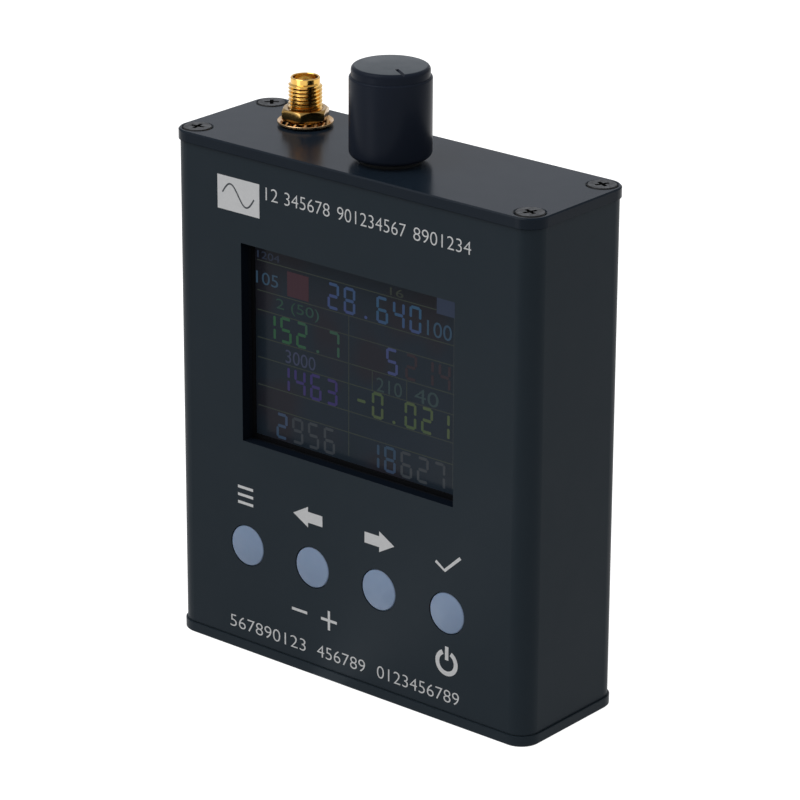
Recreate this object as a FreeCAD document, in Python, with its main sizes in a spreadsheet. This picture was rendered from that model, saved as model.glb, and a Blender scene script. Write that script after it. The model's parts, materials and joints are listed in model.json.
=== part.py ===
import FreeCAD, Part
import math
import os
import re

import Sketcher
from FreeCAD import Vector

# Antenna analyzer: an extruded case with a display, four buttons, a threaded radio-frequency
# connector and a push-and-turn knob.
# Frame: millimetres, X to the right, Y to the back, Z up, origin at the middle of the underside.

# Driving sizes
sizes = {
    # Case: sleeve, end plates and the screws that hold them
    "caseWidth": 84.2,
    "caseDepth": 27.2,
    "sleeveLength": 96.2,
    "caseCorner": 3.7,
    "wallThickness": 2.0,
    "innerCorner": 1.7,
    "sleeveChamfer": 0.2,
    "plateThickness": 2.0,
    "plateOverhang": 0.35,
    "plateChamfer": 0.25,
    "screwInset": 3.33,
    "screwHeadDiameter": 5.6,
    "screwShankDiameter": 2.9,
    "screwLength": 8.0,
    "screwSink": 0.1,
    "screwFit": 0.05,
    "screwRim": 0.08,
    "recessSpan": 3.2,
    "recessSlot": 0.8,
    "recessDepth": 1.0,
    "channelWall": 1.15,
    "slotRib": 1.0,
    "slotDepth": 1.6,
    "slotFit": 0.1,
    # Window and display
    "displayDrop": 36.1,
    "activeWidth": 48.96,
    "activeTall": 36.72,
    "windowMarginX": 0.72,
    "windowMarginZ": 1.04,
    "windowShift": -0.15,
    "glassMarginX": 2.32,
    "glassMarginZ": 2.24,
    "frameMarginX": 3.35,
    "frameMarginZ": 0.75,
    "displayDepth": 2.45,
    "lipReveal": 0.4,
    "lipThickness": 0.3,
    "glassThickness": 1.2,
    "displayFit": 0.1,
    "gasketThickness": 1.1,
    "gasketSetback": 0.3,
    "flexWidth": 20.0,
    "flexThickness": 0.15,
    "flexBehindGlass": 0.55,
    "flexSocketMargin": 1.5,
    "flexSocketHeight": 1.2,
    "flexSocketTall": 4.0,
    "flexSocketGap": 2.15,
    "flexSocketMouth": 2.0,
    "flexSocketFloor": 0.5,
    "flexFit": 0.05,
    # Boards and what joins them
    "frontBoardInset": 6.6,
    "frontBoardBottom": 12.0,
    "frontBoardGap": 0.7,
    "frontBoardThickness": 1.2,
    "mainBoardThickness": 1.6,
    "mainBoardLift": 0.3,
    "postInset": 9.1,
    "postEdge": 3.2,
    "postFlats": 5.0,
    "boltDiameter": 3.0,
    "boltReach": 4.0,
    "boltHeadDiameter": 5.0,
    "boltHeadHeight": 1.6,
    "boltFit": 0.05,
    "pinPitch": 2.54,
    "pinSide": 0.64,
    "pinFit": 0.03,
    "headerUp": 28.0,
    "headerHeight": 2.5,
    "pinTipGap": 2.5,
    "socketFloor": 0.1,
    "canInset": 12.6,
    "canWidth": 17.0,
    "canDrop": 5.2,
    "canTall": 29.0,
    "canHeight": 3.3,
    "canWall": 0.3,
    "processorX": 13.0,
    "processorUp": 55.0,
    "processorSide": 12.0,
    "processorHeight": 1.4,
    "chipHeight": 1.0,
    "chipGrid": 1.0,
    # Buttons and their switches
    "buttonPitch": 16.1,
    "buttonShift": -0.3,
    "buttonUp": 21.65,
    "buttonDiameter": 8.0,
    "buttonFit": 0.1,
    "buttonDome": 0.3,
    "buttonEdge": 0.35,
    "buttonFlange": 1.0,
    "buttonFlangeThickness": 0.8,
    "buttonSeatGap": 0.05,
    "buttonTravel": 0.3,
    "stemDiameter": 3.6,
    "switchSide": 6.0,
    "switchHeight": 1.75,
    "switchCover": 0.25,
    "plungerDiameter": 3.3,
    "plungerProud": 0.35,
    "plungerDepth": 0.65,
    "plungerFit": 0.08,
    # Radio-frequency connector
    "rfInset": 17.2,
    "rfHeight": 9.1,
    "rfThreadDiameter": 6.3,
    "rfPitch": 0.7056,
    "rfThreadDepth": 0.4,
    "rfNose": 1.05,
    "rfNoseTaper": 0.5,
    "rfRim": 0.12,
    "rfMouthDiameter": 4.64,
    "rfMouthDepth": 1.9,
    "rfDielectricDiameter": 4.1,
    "rfContactDiameter": 1.27,
    "rfContactBore": 0.92,
    "rfContactDepth": 3.0,
    "rfContactSetback": 0.2,
    "rfPinDiameter": 0.7,
    "rfPinLength": 3.2,
    "rfFlangeSide": 6.35,
    "rfFlangeThickness": 2.0,
    "rfLegLength": 4.0,
    "rfLegWidth": 1.0,
    "rfLegThickness": 0.9,
    "rfLegInset": 0.1,
    "rfFit": 0.02,
    "rfPanelFit": 0.15,
    "rfNutFlats": 8.0,
    "rfNutThickness": 2.0,
    "rfNutAngle": -60.7,
    "rfNutTopBevel": 0.5,
    "rfNutFootBevel": 0.35,
    "rfWasherDiameter": 10.4,
    "rfWasherBand": 0.85,
    "rfWasherThickness": 0.4,
    "rfWasherDish": 0.42,
    "rfToothHeight": 1.25,
    "rfToothWidth": 0.42,
    "rfToothRoot": 0.1,
    # Encoder
    "knobX": 1.3,
    "knobDepthShare": 0.675,
    "encoderSide": 11.7,
    "encoderHeight": 6.5,
    "encoderFloor": 0.5,
    "bushingDiameter": 7.0,
    "bushingHeight": 7.0,
    "bushingFit": 0.1,
    "bushingChamfer": 0.4,
    "shaftDiameter": 6.0,
    "shaftFit": 0.05,
    "shaftReach": 16.6,
    "shaftFlat": 1.5,
    "flatLength": 7.6,
    "pushTravel": 0.5,
    "pushClearance": 0.1,
    "pushDiameter": 5.9,
    "pushThickness": 1.25,
    "pushGap": 0.05,
    "encoderWasherDiameter": 11.2,
    "encoderWasherThickness": 0.5,
    "encoderNutFlats": 10.0,
    "encoderNutThickness": 2.0,
    "encoderNutFit": 0.05,
    "encoderPinSide": 0.7,
    "encoderPinRow": 5.0,
    "encoderPinPitch": 2.5,
    "encoderBoardWidth": 17.0,
    "encoderBoardMargin": 0.1,
    "encoderBoardThickness": 1.0,
    "cableWidth": 5.2,
    "cableThickness": 1.0,
    "cableSetback": 2.25,
    "plugWidth": 8.0,
    "plugDepth": 2.4,
    "plugTall": 2.2,
    "cableSocketDrop": 12.0,
    "cableSocketTall": 4.0,
    # Knob
    "knobDiameter": 15.04,
    "knobHeight": 17.05,
    "knobGap": 0.8,
    "knobShoulder": 0.37,
    "knobNeckHeight": 1.9,
    "knobTopRound": 0.4,
    "knobFootInset": 1.35,
    "knobFootDrop": 1.0,
    "knobSkirtBore": 12.0,
    "knobSkirtDepth": 3.4,
    "insertDiameter": 10.0,
    "insertLift": 5.4,
    "insertHeight": 8.7,
    "insertFit": 0.02,
    "pointerAngle": -31.0,
    "pointerStart": 3.2,
    "pointerWidth": 0.5,
    "pointerDepth": 0.4,
    "setScrewDiameter": 3.0,
    "setScrewUp": 9.0,
    "setScrewSetback": 1.3,
    # Battery
    "batteryWidth": 50.0,
    "batteryThickness": 5.0,
    "batteryBottom": 25.0,
    "batteryTopGap": 2.0,
    "batteryGap": 0.45,
    "batteryCorner": 2.0,
    "tapeThickness": 0.2,
    "tapeWidth": 40.0,
    "tapeTall": 10.0,
    "tapeInset": 10.0,
    "batteryBoardWidth": 18.0,
    "batteryBoardTall": 3.0,
    "batteryBoardThickness": 1.0,
    "leadDiameter": 1.1,
    "leadSpread": 2.0,
    "leadBend": 1.3,
    "batterySocketX": 15.0,
    "batterySocketWidth": 6.0,
    "batterySocketTall": 8.0,
    "batterySocketHeight": 4.0,
    "batterySocketWall": 0.8,
    "batterySocketDrop": 9.2,
    "plugProud": 3.5,
    "batteryPlugFit": 0.1,
    # Charging socket and its light
    "usbInset": 24.1,
    "usbWidth": 7.6,
    "usbHeight": 2.75,
    "usbLength": 5.7,
    "usbWall": 0.3,
    "usbCorner": 0.6,
    "usbRecess": 0.5,
    "usbPlateFit": 0.3,
    "tongueWidth": 5.0,
    "tongueThickness": 0.7,
    "tongueSetback": 0.8,
    "ledInset": 15.1,
    "ledDiameter": 1.8,
    "ledFit": 0.1,
    "ledLength": 3.6,
    "ledFootWidth": 2.2,
    "ledFootTall": 1.4,
}

# The lock washer's teeth, a count and not a size
washerTeeth = 12

doc = FreeCAD.newDocument("AntennaAnalyzer")
sheet = doc.addObject("Spreadsheet::Sheet", "sizes")
for line, (alias, number) in enumerate(sizes.items(), start=1):
    sheet.set(f"A{line}", alias)
    sheet.set(f"B{line}", str(number))
    sheet.setAlias(f"B{line}", alias)
doc.recompute()

aliasWord = re.compile(r"\b(" + "|".join(sizes) + r")\b")
nodes = {}

# Which way each plane's normal points along its own axis
planeSign = {"XY_Plane": 1, "XZ_Plane": -1, "YZ_Plane": 1}


# Expressions


def linked(text):
    return aliasWord.sub(r"sizes.\1", str(text))


def value(text):
    result = sheet.evalExpression(str(text))
    return float(getattr(result, "Value", result))


def bind(item, prop, text):
    item.setExpression(prop, linked(text))


def place(item, x="0", y="0", z="0"):
    for axis, text in zip("xyz", (x, y, z)):
        bind(item, f"Placement.Base.{axis}", text)
    return item


# Sketch outlines, every point and radius bound to the sheet


def pin(sketch, geometry, position, x, y):
    for kind, text in (("DistanceX", x), ("DistanceY", y)):
        index = sketch.addConstraint(
            Sketcher.Constraint(kind, -1, 1, geometry, position, value(text))
        )
        bind(sketch, f"Constraints[{index}]", text)


def radiusOf(sketch, geometry, text):
    index = sketch.addConstraint(Sketcher.Constraint("Radius", geometry, value(text)))
    bind(sketch, f"Constraints[{index}]", text)


def arcBetween(start, end, radius, turnsLeft):
    chord = end - start
    middle = (start + end) * 0.5
    side = Vector(-chord.y, chord.x, 0).normalize()
    rise = math.sqrt(max(radius**2 - (chord.Length / 2) ** 2, 0))
    centre = middle + side * (rise if turnsLeft else -rise)
    first, last = (start, end) if turnsLeft else (end, start)
    angles = [math.atan2(spot.y - centre.y, spot.x - centre.x) for spot in (first, last)]
    if angles[1] < angles[0]:
        angles[1] += 2 * math.pi
    return Part.ArcOfCircle(Part.Circle(centre, Vector(0, 0, 1), radius), *angles)


def outline(sketch, points):
    # A point is (x, y), or (x, y, radius) where an arc runs from it to the next one: it turns
    # left, or right where the radius has a minus sign in front.
    spots = [Vector(value(point[0]), value(point[1]), 0) for point in points]
    ends = []
    for index, point in enumerate(points):
        start, end = spots[index], spots[(index + 1) % len(spots)]
        if len(point) == 2:
            geometry = sketch.addGeometry(Part.LineSegment(start, end))
            ends.append((geometry, 1, 2))
        else:
            turnsLeft = not point[2].startswith("-")
            radius = point[2].lstrip("-")
            geometry = sketch.addGeometry(arcBetween(start, end, value(radius), turnsLeft))
            ends.append((geometry, 1, 2) if turnsLeft else (geometry, 2, 1))
    for index, (geometry, start, end) in enumerate(ends):
        following = ends[(index + 1) % len(ends)]
        sketch.addConstraint(
            Sketcher.Constraint("Coincident", geometry, end, following[0], following[1])
        )
        pin(sketch, geometry, start, points[index][0], points[index][1])
    for point, (geometry, start, end) in zip(points, ends):
        if len(point) == 3:
            radiusOf(sketch, geometry, point[2].lstrip("-"))


def circle(sketch, x, y, radius):
    centre = Vector(value(x), value(y), 0)
    geometry = sketch.addGeometry(Part.Circle(centre, Vector(0, 0, 1), value(radius)))
    pin(sketch, geometry, 3, x, y)
    radiusOf(sketch, geometry, radius)


def rectangle(sketch, left, low, right, high):
    outline(sketch, [(left, low), (right, low), (right, high), (left, high)])


def middleRectangle(sketch, x, y, width, height):
    rectangle(
        sketch,
        f"({x}) - ({width}) / 2",
        f"({y}) - ({height}) / 2",
        f"({x}) + ({width}) / 2",
        f"({y}) + ({height}) / 2",
    )


def roundedRectangle(sketch, x, y, width, height, corner):
    left, right = f"({x}) - ({width}) / 2", f"({x}) + ({width}) / 2"
    low, high = f"({y}) - ({height}) / 2", f"({y}) + ({height}) / 2"
    outline(
        sketch,
        [
            (f"{left} + {corner}", low),
            (f"{right} - {corner}", low, corner),
            (right, f"{low} + {corner}"),
            (right, f"{high} - {corner}", corner),
            (f"{right} - {corner}", high),
            (f"{left} + {corner}", high, corner),
            (left, f"{high} - {corner}"),
            (left, f"{low} + {corner}", corner),
        ],
    )


def hexagon(sketch, x, y, flats, turn="0"):
    corner = f"({flats}) / 2 / cos(30)"
    angles = [f"({turn} + {60 * side})" for side in range(6)]
    outline(
        sketch,
        [(f"({x}) + {corner} * cos{angle}", f"({y}) + {corner} * sin{angle}") for angle in angles],
    )


# Bodies and features


def newBody(label):
    body = doc.addObject("PartDesign::Body", label)
    body.Label = label
    body.AllowCompound = True
    return body


def newSketch(body, plane, offset="0"):
    sketch = body.newObject("Sketcher::SketchObject", "outline")
    origin = [item for item in body.Origin.OriginFeatures if item.Role == plane][0]
    sketch.AttachmentSupport = [(origin, "")]
    sketch.MapMode = "FlatFace"
    bind(sketch, "AttachmentOffset.Base.z", f"{planeSign[plane]} * ({offset})")
    return sketch


def layer(body, kind, plane, low, high, draw):
    # A Pad grows along the plane's normal and a Pocket cuts against it, so the sketch lies at
    # whichever end of the span makes the feature fill it.
    adds = kind == "Pad"
    start = low if adds == (planeSign[plane] > 0) else high
    sketch = newSketch(body, plane, start)
    draw(sketch)
    before = body.Shape.Volume if not adds else 0
    feature = body.newObject(f"PartDesign::{kind}", kind.lower())
    feature.Profile = sketch
    bind(feature, "Length", f"({high}) - ({low})")
    doc.recompute()
    if not adds and body.Shape.Volume >= before:
        raise RuntimeError(f"{body.Label}: a pocket cuts nothing")
    return feature


def pad(body, plane, low, high, draw):
    return layer(body, "Pad", plane, low, high, draw)


def pocket(body, plane, low, high, draw):
    return layer(body, "Pocket", plane, low, high, draw)


def turned(body, points, plane="XZ_Plane", kind="Revolution"):
    # The sketch's vertical axis is the turning axis: Z from the XZ plane, Y from the XY plane.
    sketch = newSketch(body, plane)
    outline(sketch, points)
    feature = body.newObject(f"PartDesign::{kind}", kind.lower())
    feature.Profile = sketch
    feature.ReferenceAxis = (sketch, ["V_Axis"])
    feature.Angle = 360
    doc.recompute()
    return feature


def polar(body, features, count):
    pattern = body.newObject("PartDesign::PolarPattern", "pattern")
    pattern.Originals = features
    axis = [item for item in body.Origin.OriginFeatures if item.Role == "Z_Axis"][0]
    pattern.Axis = (axis, [""])
    pattern.Angle = 360
    pattern.Occurrences = count
    body.Tip = pattern
    doc.recompute()
    return pattern


def chamferEdges(body, size, chosen):
    base = body.Tip
    names = [f"Edge{n}" for n, edge in enumerate(base.Shape.Edges, start=1) if chosen(edge)]
    chamfer = body.newObject("PartDesign::Chamfer", "chamfer")
    chamfer.Base = (base, names)
    bind(chamfer, "Size", size)
    doc.recompute()
    return chamfer


def box(label, x, y, z):
    # x, y and z are each a pair: the low side and the high side.
    item = doc.addObject("Part::Box", label)
    item.Label = label
    for prop, (low, high) in zip(("Length", "Width", "Height"), (x, y, z)):
        bind(item, prop, f"({high}) - ({low})")
    return place(item, x[0], y[0], z[0])


def keep(item):
    nodes[item.Label] = item
    return item


def around(middle, width):
    return f"{middle} - {width} / 2", f"{middle} + {width} / 2"


# Levels, planes and widths that several pieces share

caseTop = "(2 * plateThickness + sleeveLength)"
sleeveTop = "(plateThickness + sleeveLength)"
frontFace = "(-caseDepth / 2)"
frontInner = "(-caseDepth / 2 + wallThickness)"
backInner = "(caseDepth / 2 - wallThickness)"
screwX = "(caseWidth / 2 - screwInset)"
screwY = "(caseDepth / 2 - screwInset)"
channelRadius = "(screwShankDiameter / 2 + screwFit + channelWall)"
gasketBack = f"({frontInner} + gasketThickness)"
glassFront = f"({gasketBack} + lipThickness)"
glassBack = f"({glassFront} + glassThickness)"
displayBack = f"({gasketBack} + displayDepth)"
displayUp = f"({sleeveTop} - displayDrop)"
windowWidth = "(activeWidth + 2 * windowMarginX)"
windowHeight = "(activeTall + 2 * windowMarginZ)"
glassWidth = "(activeWidth + 2 * glassMarginX)"
glassTall = "(activeTall + 2 * glassMarginZ)"
displayWidth = f"({glassWidth} + 2 * frameMarginX)"
displayTall = f"({glassTall} + 2 * frameMarginZ)"
displayLow = f"({displayUp} - {displayTall} / 2)"
glassLow = f"({displayUp} - {glassTall} / 2)"
frontBoardFront = displayBack
frontBoardBack = f"({frontBoardFront} + frontBoardThickness)"
mainBoardBack = f"({backInner} - tapeThickness - batteryThickness - batteryGap)"
mainBoardFront = f"({mainBoardBack} - mainBoardThickness)"
mainBoardBottom = "(plateThickness + mainBoardLift)"
mainBoardTop = f"({sleeveTop} - rfFlangeThickness)"
encoderLow = f"({sleeveTop} - encoderHeight)"
encoderBoardLow = f"({encoderLow} - encoderBoardThickness)"
encoderBoardDepth = "(encoderSide + 2 * encoderBoardMargin)"
frontBoardTop = f"({encoderBoardLow} - frontBoardGap)"
halfFrontBoard = "(caseWidth / 2 - frontBoardInset)"
postX = "(caseWidth / 2 - postInset)"
postLevels = ("(frontBoardBottom + postEdge)", f"({frontBoardTop} - postEdge)")
posts = [(f"{side} * {postX}", level) for side in (-1, 1) for level in postLevels]
corners = [(f"{sx} * {screwX}", f"{sy} * {screwY}") for sx in (-1, 1) for sy in (-1, 1)]
buttonNames = ("menu", "left", "right", "confirm")
buttonPlaces = [f"(buttonShift + buttonPitch * {step})" for step in (-1.5, -0.5, 0.5, 1.5)]
rfX = "(rfInset - caseWidth / 2)"
rfY = f"({mainBoardFront} - rfPinDiameter / 2)"
usbX = "(caseWidth / 2 - usbInset)"
usbY = f"({mainBoardFront} - usbHeight / 2)"
ledX = "(caseWidth / 2 - ledInset)"
ledY = f"({mainBoardFront} - ledDiameter / 2)"

# The encoder's board lies in the depth between the front wall and the main board, nearer the
# main board, and the knob's axis is the middle of it.
freeDepth = f"({mainBoardFront} - {frontInner} - {encoderBoardDepth})"
knobY = f"({frontInner} + knobDepthShare * {freeDepth} + {encoderBoardDepth} / 2)"


# Case: sleeve, end plates, countersunk screws


def makeSleeve():
    body = newBody("case_sleeve")
    low, high = "plateThickness", sleeveTop
    pad(
        body, "XY_Plane", low, high,
        lambda sk: roundedRectangle(sk, "0", "0", "caseWidth", "caseDepth", "caseCorner"),
    )
    inside = ("(caseWidth - 2 * wallThickness)", "(caseDepth - 2 * wallThickness)")
    pocket(body, "XY_Plane", low, high, lambda sk: roundedRectangle(sk, "0", "0", *inside, "innerCorner"))

    def channels(radius):
        def draw(sketch):
            for x, y in corners:
                circle(sketch, x, y, radius)

        return draw

    pad(body, "XY_Plane", low, high, channels(channelRadius))
    pocket(body, "XY_Plane", low, high, channels("(screwShankDiameter / 2 + screwFit)"))

    def ribs(sketch):
        sideInner = "(caseWidth / 2 - wallThickness)"
        spans = (
            (f"{mainBoardFront} - slotFit - slotRib", f"{mainBoardFront} - slotFit"),
            (f"{mainBoardBack} + slotFit", f"{mainBoardBack} + slotFit + slotRib"),
        )
        for near, far in spans:
            rectangle(sketch, f"-{sideInner} - slotFit", near, f"-{sideInner} + slotDepth", far)
            rectangle(sketch, f"{sideInner} - slotDepth", near, f"{sideInner} + slotFit", far)

    pad(body, "XY_Plane", low, high, ribs)
    pocket(
        body, "XZ_Plane", frontFace, frontInner,
        lambda sk: middleRectangle(sk, "windowShift", displayUp, windowWidth, windowHeight),
    )

    def buttonHoles(sketch):
        for x in buttonPlaces:
            circle(sketch, x, "buttonUp", "buttonDiameter / 2 + buttonFit")

    pocket(body, "XZ_Plane", frontFace, frontInner, buttonHoles)

    def outerEnd(edge):
        bounds = edge.BoundBox
        reach = max(abs(bounds.XMin), abs(bounds.XMax)) >= value("caseWidth / 2 - caseCorner") - 0.01
        side = max(abs(bounds.YMin), abs(bounds.YMax)) >= value("caseDepth / 2 - caseCorner") - 0.01
        outside = (
            max(abs(bounds.XMin), abs(bounds.XMax)) > value("caseWidth / 2") - 0.01
            or max(abs(bounds.YMin), abs(bounds.YMax)) > value("caseDepth / 2") - 0.01
        )
        flat = bounds.ZLength < 0.01
        end = min(abs(bounds.ZMin - value(low)), abs(bounds.ZMin - value(high))) < 0.01
        return flat and end and outside and (reach or side)

    chamferEdges(body, "sleeveChamfer", outerEnd)
    keep(body)


def makePlate(label, low, high, drawHoles, facesUp):
    body = newBody(label)
    width, depth = "(caseWidth + 2 * plateOverhang)", "(caseDepth + 2 * plateOverhang)"
    pad(
        body, "XY_Plane", low, high,
        lambda sk: roundedRectangle(sk, "0", "0", width, depth, "(caseCorner + plateOverhang)"),
    )
    outerLevel = value(high if facesUp else low)
    chamferEdges(
        body, "plateChamfer",
        lambda edge: edge.BoundBox.ZLength < 0.01 and abs(edge.BoundBox.ZMin - outerLevel) < 0.01,
    )
    pocket(body, "XY_Plane", low, high, drawHoles)
    return body


def countersink(body, x, y, level, side):
    # A 90 degree cone that opens at the outer face, with the screw's rim and sink added to it
    straight = "(screwShankDiameter / 2 + screwFit)"
    depth = "(screwHeadDiameter / 2 - screwShankDiameter / 2 + screwSink + screwRim)"
    mouth = f"({straight} + {depth})"
    upwards = side > 0
    cut = body.newObject("PartDesign::SubtractiveCone", "countersink")
    bind(cut, "Radius1", straight if upwards else mouth)
    bind(cut, "Radius2", mouth if upwards else straight)
    bind(cut, "Height", depth)
    place(cut, x, y, f"{level} - {depth}" if upwards else level)
    doc.recompute()


def makePlates():
    def topHoles(sketch):
        for x, y in corners:
            circle(sketch, x, y, "(screwShankDiameter / 2 + screwFit)")
        circle(sketch, rfX, rfY, "(rfThreadDiameter / 2 + rfPanelFit)")
        circle(sketch, "knobX", knobY, "(bushingDiameter / 2 + bushingFit)")

    def bottomHoles(sketch):
        for x, y in corners:
            circle(sketch, x, y, "(screwShankDiameter / 2 + screwFit)")
        roundedRectangle(
            sketch, usbX, usbY, "(usbWidth + 2 * usbPlateFit)", "(usbHeight + 2 * usbPlateFit)",
            "(usbCorner + usbPlateFit)",
        )
        circle(sketch, ledX, ledY, "(ledDiameter / 2 + ledFit)")

    top = makePlate("top_plate", sleeveTop, caseTop, topHoles, True)
    bottom = makePlate("bottom_plate", "0", "plateThickness", bottomHoles, False)
    for x, y in corners:
        countersink(top, x, y, caseTop, 1)
        countersink(bottom, x, y, "0", -1)
    keep(top)
    keep(bottom)


def mirrored(item, **normal):
    copy = doc.addObject("Part::Mirroring", "mirror")
    copy.Source = item
    copy.Normal = Vector(normal.get("x", 0), normal.get("y", 0), normal.get("z", 0))
    return copy


def makePlateScrews():
    head, shank = "(screwHeadDiameter / 2)", "(screwShankDiameter / 2)"
    screw = newBody("plate_screw")
    turned(
        screw,
        [
            ("0", "0"),
            ("0", "-screwLength"),
            (f"{shank} - screwRim", "-screwLength"),
            (shank, "-screwLength + screwRim"),
            (shank, f"-({head} - {shank}) - screwRim"),
            (head, "-screwRim"),
            (head, "0"),
        ],
    )

    def cross(sketch):
        arm, slot = "(recessSpan / 2)", "(recessSlot / 2)"
        quarter = ((arm, f"-{slot}"), (arm, slot), (slot, slot))
        points = []
        for turn in range(4):
            for x, y in quarter:
                for _ in range(turn):
                    x, y = f"-({y})", x
                points.append((x, y))
        outline(sketch, points)

    pocket(screw, "XY_Plane", "-recessDepth", "0", cross)
    place(screw, screwX, screwY, f"{caseTop} - screwSink")
    acrossX = mirrored(screw, x=1)
    acrossY = mirrored(screw, y=1)
    acrossBoth = mirrored(acrossX, y=1)
    topScrews = doc.addObject("Part::Compound", "top_plate_screws")
    topScrews.Label = "top_plate_screws"
    topScrews.Links = [screw, acrossX, acrossY, acrossBoth]
    bottomScrews = mirrored(topScrews, z=1)
    bottomScrews.Label = "bottom_plate_screws"
    bind(bottomScrews, "Base.z", f"{caseTop} / 2")
    keep(topScrews)
    keep(bottomScrews)


# Display: gasket, frame, glass, backlight, flex


def makeDisplay():
    gasket = newBody("display_gasket")

    def gasketRing(sketch):
        middleRectangle(sketch, "0", displayUp, displayWidth, displayTall)
        middleRectangle(
            sketch, "windowShift", displayUp,
            f"({windowWidth} + 2 * gasketSetback)", f"({windowHeight} + 2 * gasketSetback)",
        )

    pad(gasket, "XZ_Plane", frontInner, gasketBack, gasketRing)
    keep(gasket)

    frame = newBody("display_frame")
    pad(
        frame, "XZ_Plane", gasketBack, displayBack,
        lambda sk: middleRectangle(sk, "0", displayUp, displayWidth, displayTall),
    )
    pocket(
        frame, "XZ_Plane", glassFront, displayBack,
        lambda sk: middleRectangle(
            sk, "0", displayUp, f"({glassWidth} + 2 * displayFit)", f"({glassTall} + 2 * displayFit)"
        ),
    )
    pocket(
        frame, "XZ_Plane", gasketBack, glassFront,
        lambda sk: middleRectangle(
            sk, "0", displayUp, "(activeWidth + 2 * lipReveal)", "(activeTall + 2 * lipReveal)"
        ),
    )
    pocket(
        frame, "XZ_Plane", f"{glassBack} + displayFit", displayBack,
        lambda sk: rectangle(
            sk, "-flexWidth / 2 - displayFit", displayLow, "flexWidth / 2 + displayFit", glassLow
        ),
    )
    keep(frame)

    sheetX = around("0", glassWidth)
    sheetZ = around(displayUp, glassTall)
    keep(box("display_glass", sheetX, (glassFront, glassBack), sheetZ))
    keep(box("display_backlight", sheetX, (glassBack, displayBack), sheetZ))

    flexFront = f"({glassBack} + flexBehindGlass - flexThickness)"
    flexBack = f"({glassBack} + flexBehindGlass)"
    socketTop = f"({displayLow} - flexSocketGap)"
    mouthFloor = f"({socketTop} - flexSocketMouth)"
    flexEnd = f"({mouthFloor} + flexSocketFloor)"
    keep(box("display_flex", around("0", "flexWidth"), (flexFront, flexBack), (flexEnd, glassLow)))

    socket = newBody("flex_connector")
    socketHalf = "(flexWidth / 2 + flexSocketMargin)"
    pad(
        socket, "XZ_Plane", f"{frontBoardFront} - flexSocketHeight", frontBoardFront,
        lambda sk: rectangle(sk, f"-{socketHalf}", f"{socketTop} - flexSocketTall", socketHalf, socketTop),
    )
    pocket(
        socket, "XY_Plane", mouthFloor, socketTop,
        lambda sk: rectangle(
            sk, "-flexWidth / 2 - flexFit", f"{flexFront} - flexFit",
            "flexWidth / 2 + flexFit", f"{flexBack} + flexFit",
        ),
    )
    keep(socket)


# Boards, posts, screws, board-to-board pins, chips


def holesAt(places, radius):
    def draw(sketch):
        for x, y in places:
            circle(sketch, x, y, radius)

    return draw


def makeBoards():
    front = newBody("front_board")
    pad(
        front, "XZ_Plane", frontBoardFront, frontBoardBack,
        lambda sk: rectangle(
            sk, f"-{halfFrontBoard}", "frontBoardBottom", halfFrontBoard, frontBoardTop
        ),
    )
    hole = "(boltDiameter / 2 + boltFit)"
    pocket(front, "XZ_Plane", frontBoardFront, frontBoardBack, holesAt(posts, hole))
    keep(front)

    main = newBody("main_board")
    halfWidth = "(caseWidth / 2 - wallThickness - slotFit)"
    pad(
        main, "XZ_Plane", mainBoardFront, mainBoardBack,
        lambda sk: rectangle(sk, f"-{halfWidth}", mainBoardBottom, halfWidth, mainBoardTop),
    )
    pocket(main, "XZ_Plane", mainBoardFront, mainBoardBack, holesAt(posts, hole))
    keep(main)

    standoffs = newBody("standoffs")

    def hexagons(sketch):
        for x, y in posts:
            hexagon(sketch, x, y, "postFlats")

    pad(standoffs, "XZ_Plane", frontBoardBack, mainBoardFront, hexagons)
    pocket(standoffs, "XZ_Plane", frontBoardBack, mainBoardFront, holesAt(posts, hole))
    keep(standoffs)

    headRadius, boltRadius = "(boltHeadDiameter / 2)", "(boltDiameter / 2)"
    frontBolts = newBody("front_board_screws")
    pad(
        frontBolts, "XZ_Plane", f"{frontBoardFront} - boltHeadHeight", frontBoardFront,
        holesAt(posts, headRadius),
    )
    pad(
        frontBolts, "XZ_Plane", frontBoardFront, f"{frontBoardBack} + boltReach",
        holesAt(posts, boltRadius),
    )
    keep(frontBolts)

    mainBolts = newBody("main_board_screws")
    pad(
        mainBolts, "XZ_Plane", mainBoardBack, f"{mainBoardBack} + boltHeadHeight",
        holesAt(posts, headRadius),
    )
    pad(
        mainBolts, "XZ_Plane", f"{mainBoardFront} - boltReach", mainBoardBack,
        holesAt(posts, boltRadius),
    )
    keep(mainBolts)


def makeBoardLink():
    columns, rows = (-2.5, -1.5, -0.5, 0.5, 1.5, 2.5), (-0.5, 0.5)
    width, height = f"(pinPitch * {len(columns)})", f"(pinPitch * {len(rows)})"
    headerFront = f"({mainBoardFront} - headerHeight)"
    pinTip = f"({frontBoardBack} + pinTipGap)"

    def squares(side):
        def draw(sketch):
            for column in columns:
                for line in rows:
                    x, y = f"(pinPitch * {column})", f"(headerUp + pinPitch * {line})"
                    middleRectangle(sketch, x, y, side, side)

        return draw

    slack = "(pinSide + 2 * pinFit)"
    header = newBody("board_header")
    pad(
        header, "XZ_Plane", headerFront, mainBoardFront,
        lambda sk: middleRectangle(sk, "0", "headerUp", width, height),
    )
    pocket(header, "XZ_Plane", headerFront, mainBoardFront, squares(slack))
    keep(header)

    pins = newBody("header_pins")
    pad(pins, "XZ_Plane", pinTip, mainBoardFront, squares("pinSide"))
    keep(pins)

    socket = newBody("board_socket")
    pad(
        socket, "XZ_Plane", frontBoardBack, headerFront,
        lambda sk: middleRectangle(sk, "0", "headerUp", width, height),
    )
    # The holes start from the mouth, so their sketch lies at the deep end and is cut forwards.
    pocket(socket, "XZ_Plane", f"{pinTip} - socketFloor", headerFront, squares(slack))
    keep(socket)


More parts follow.
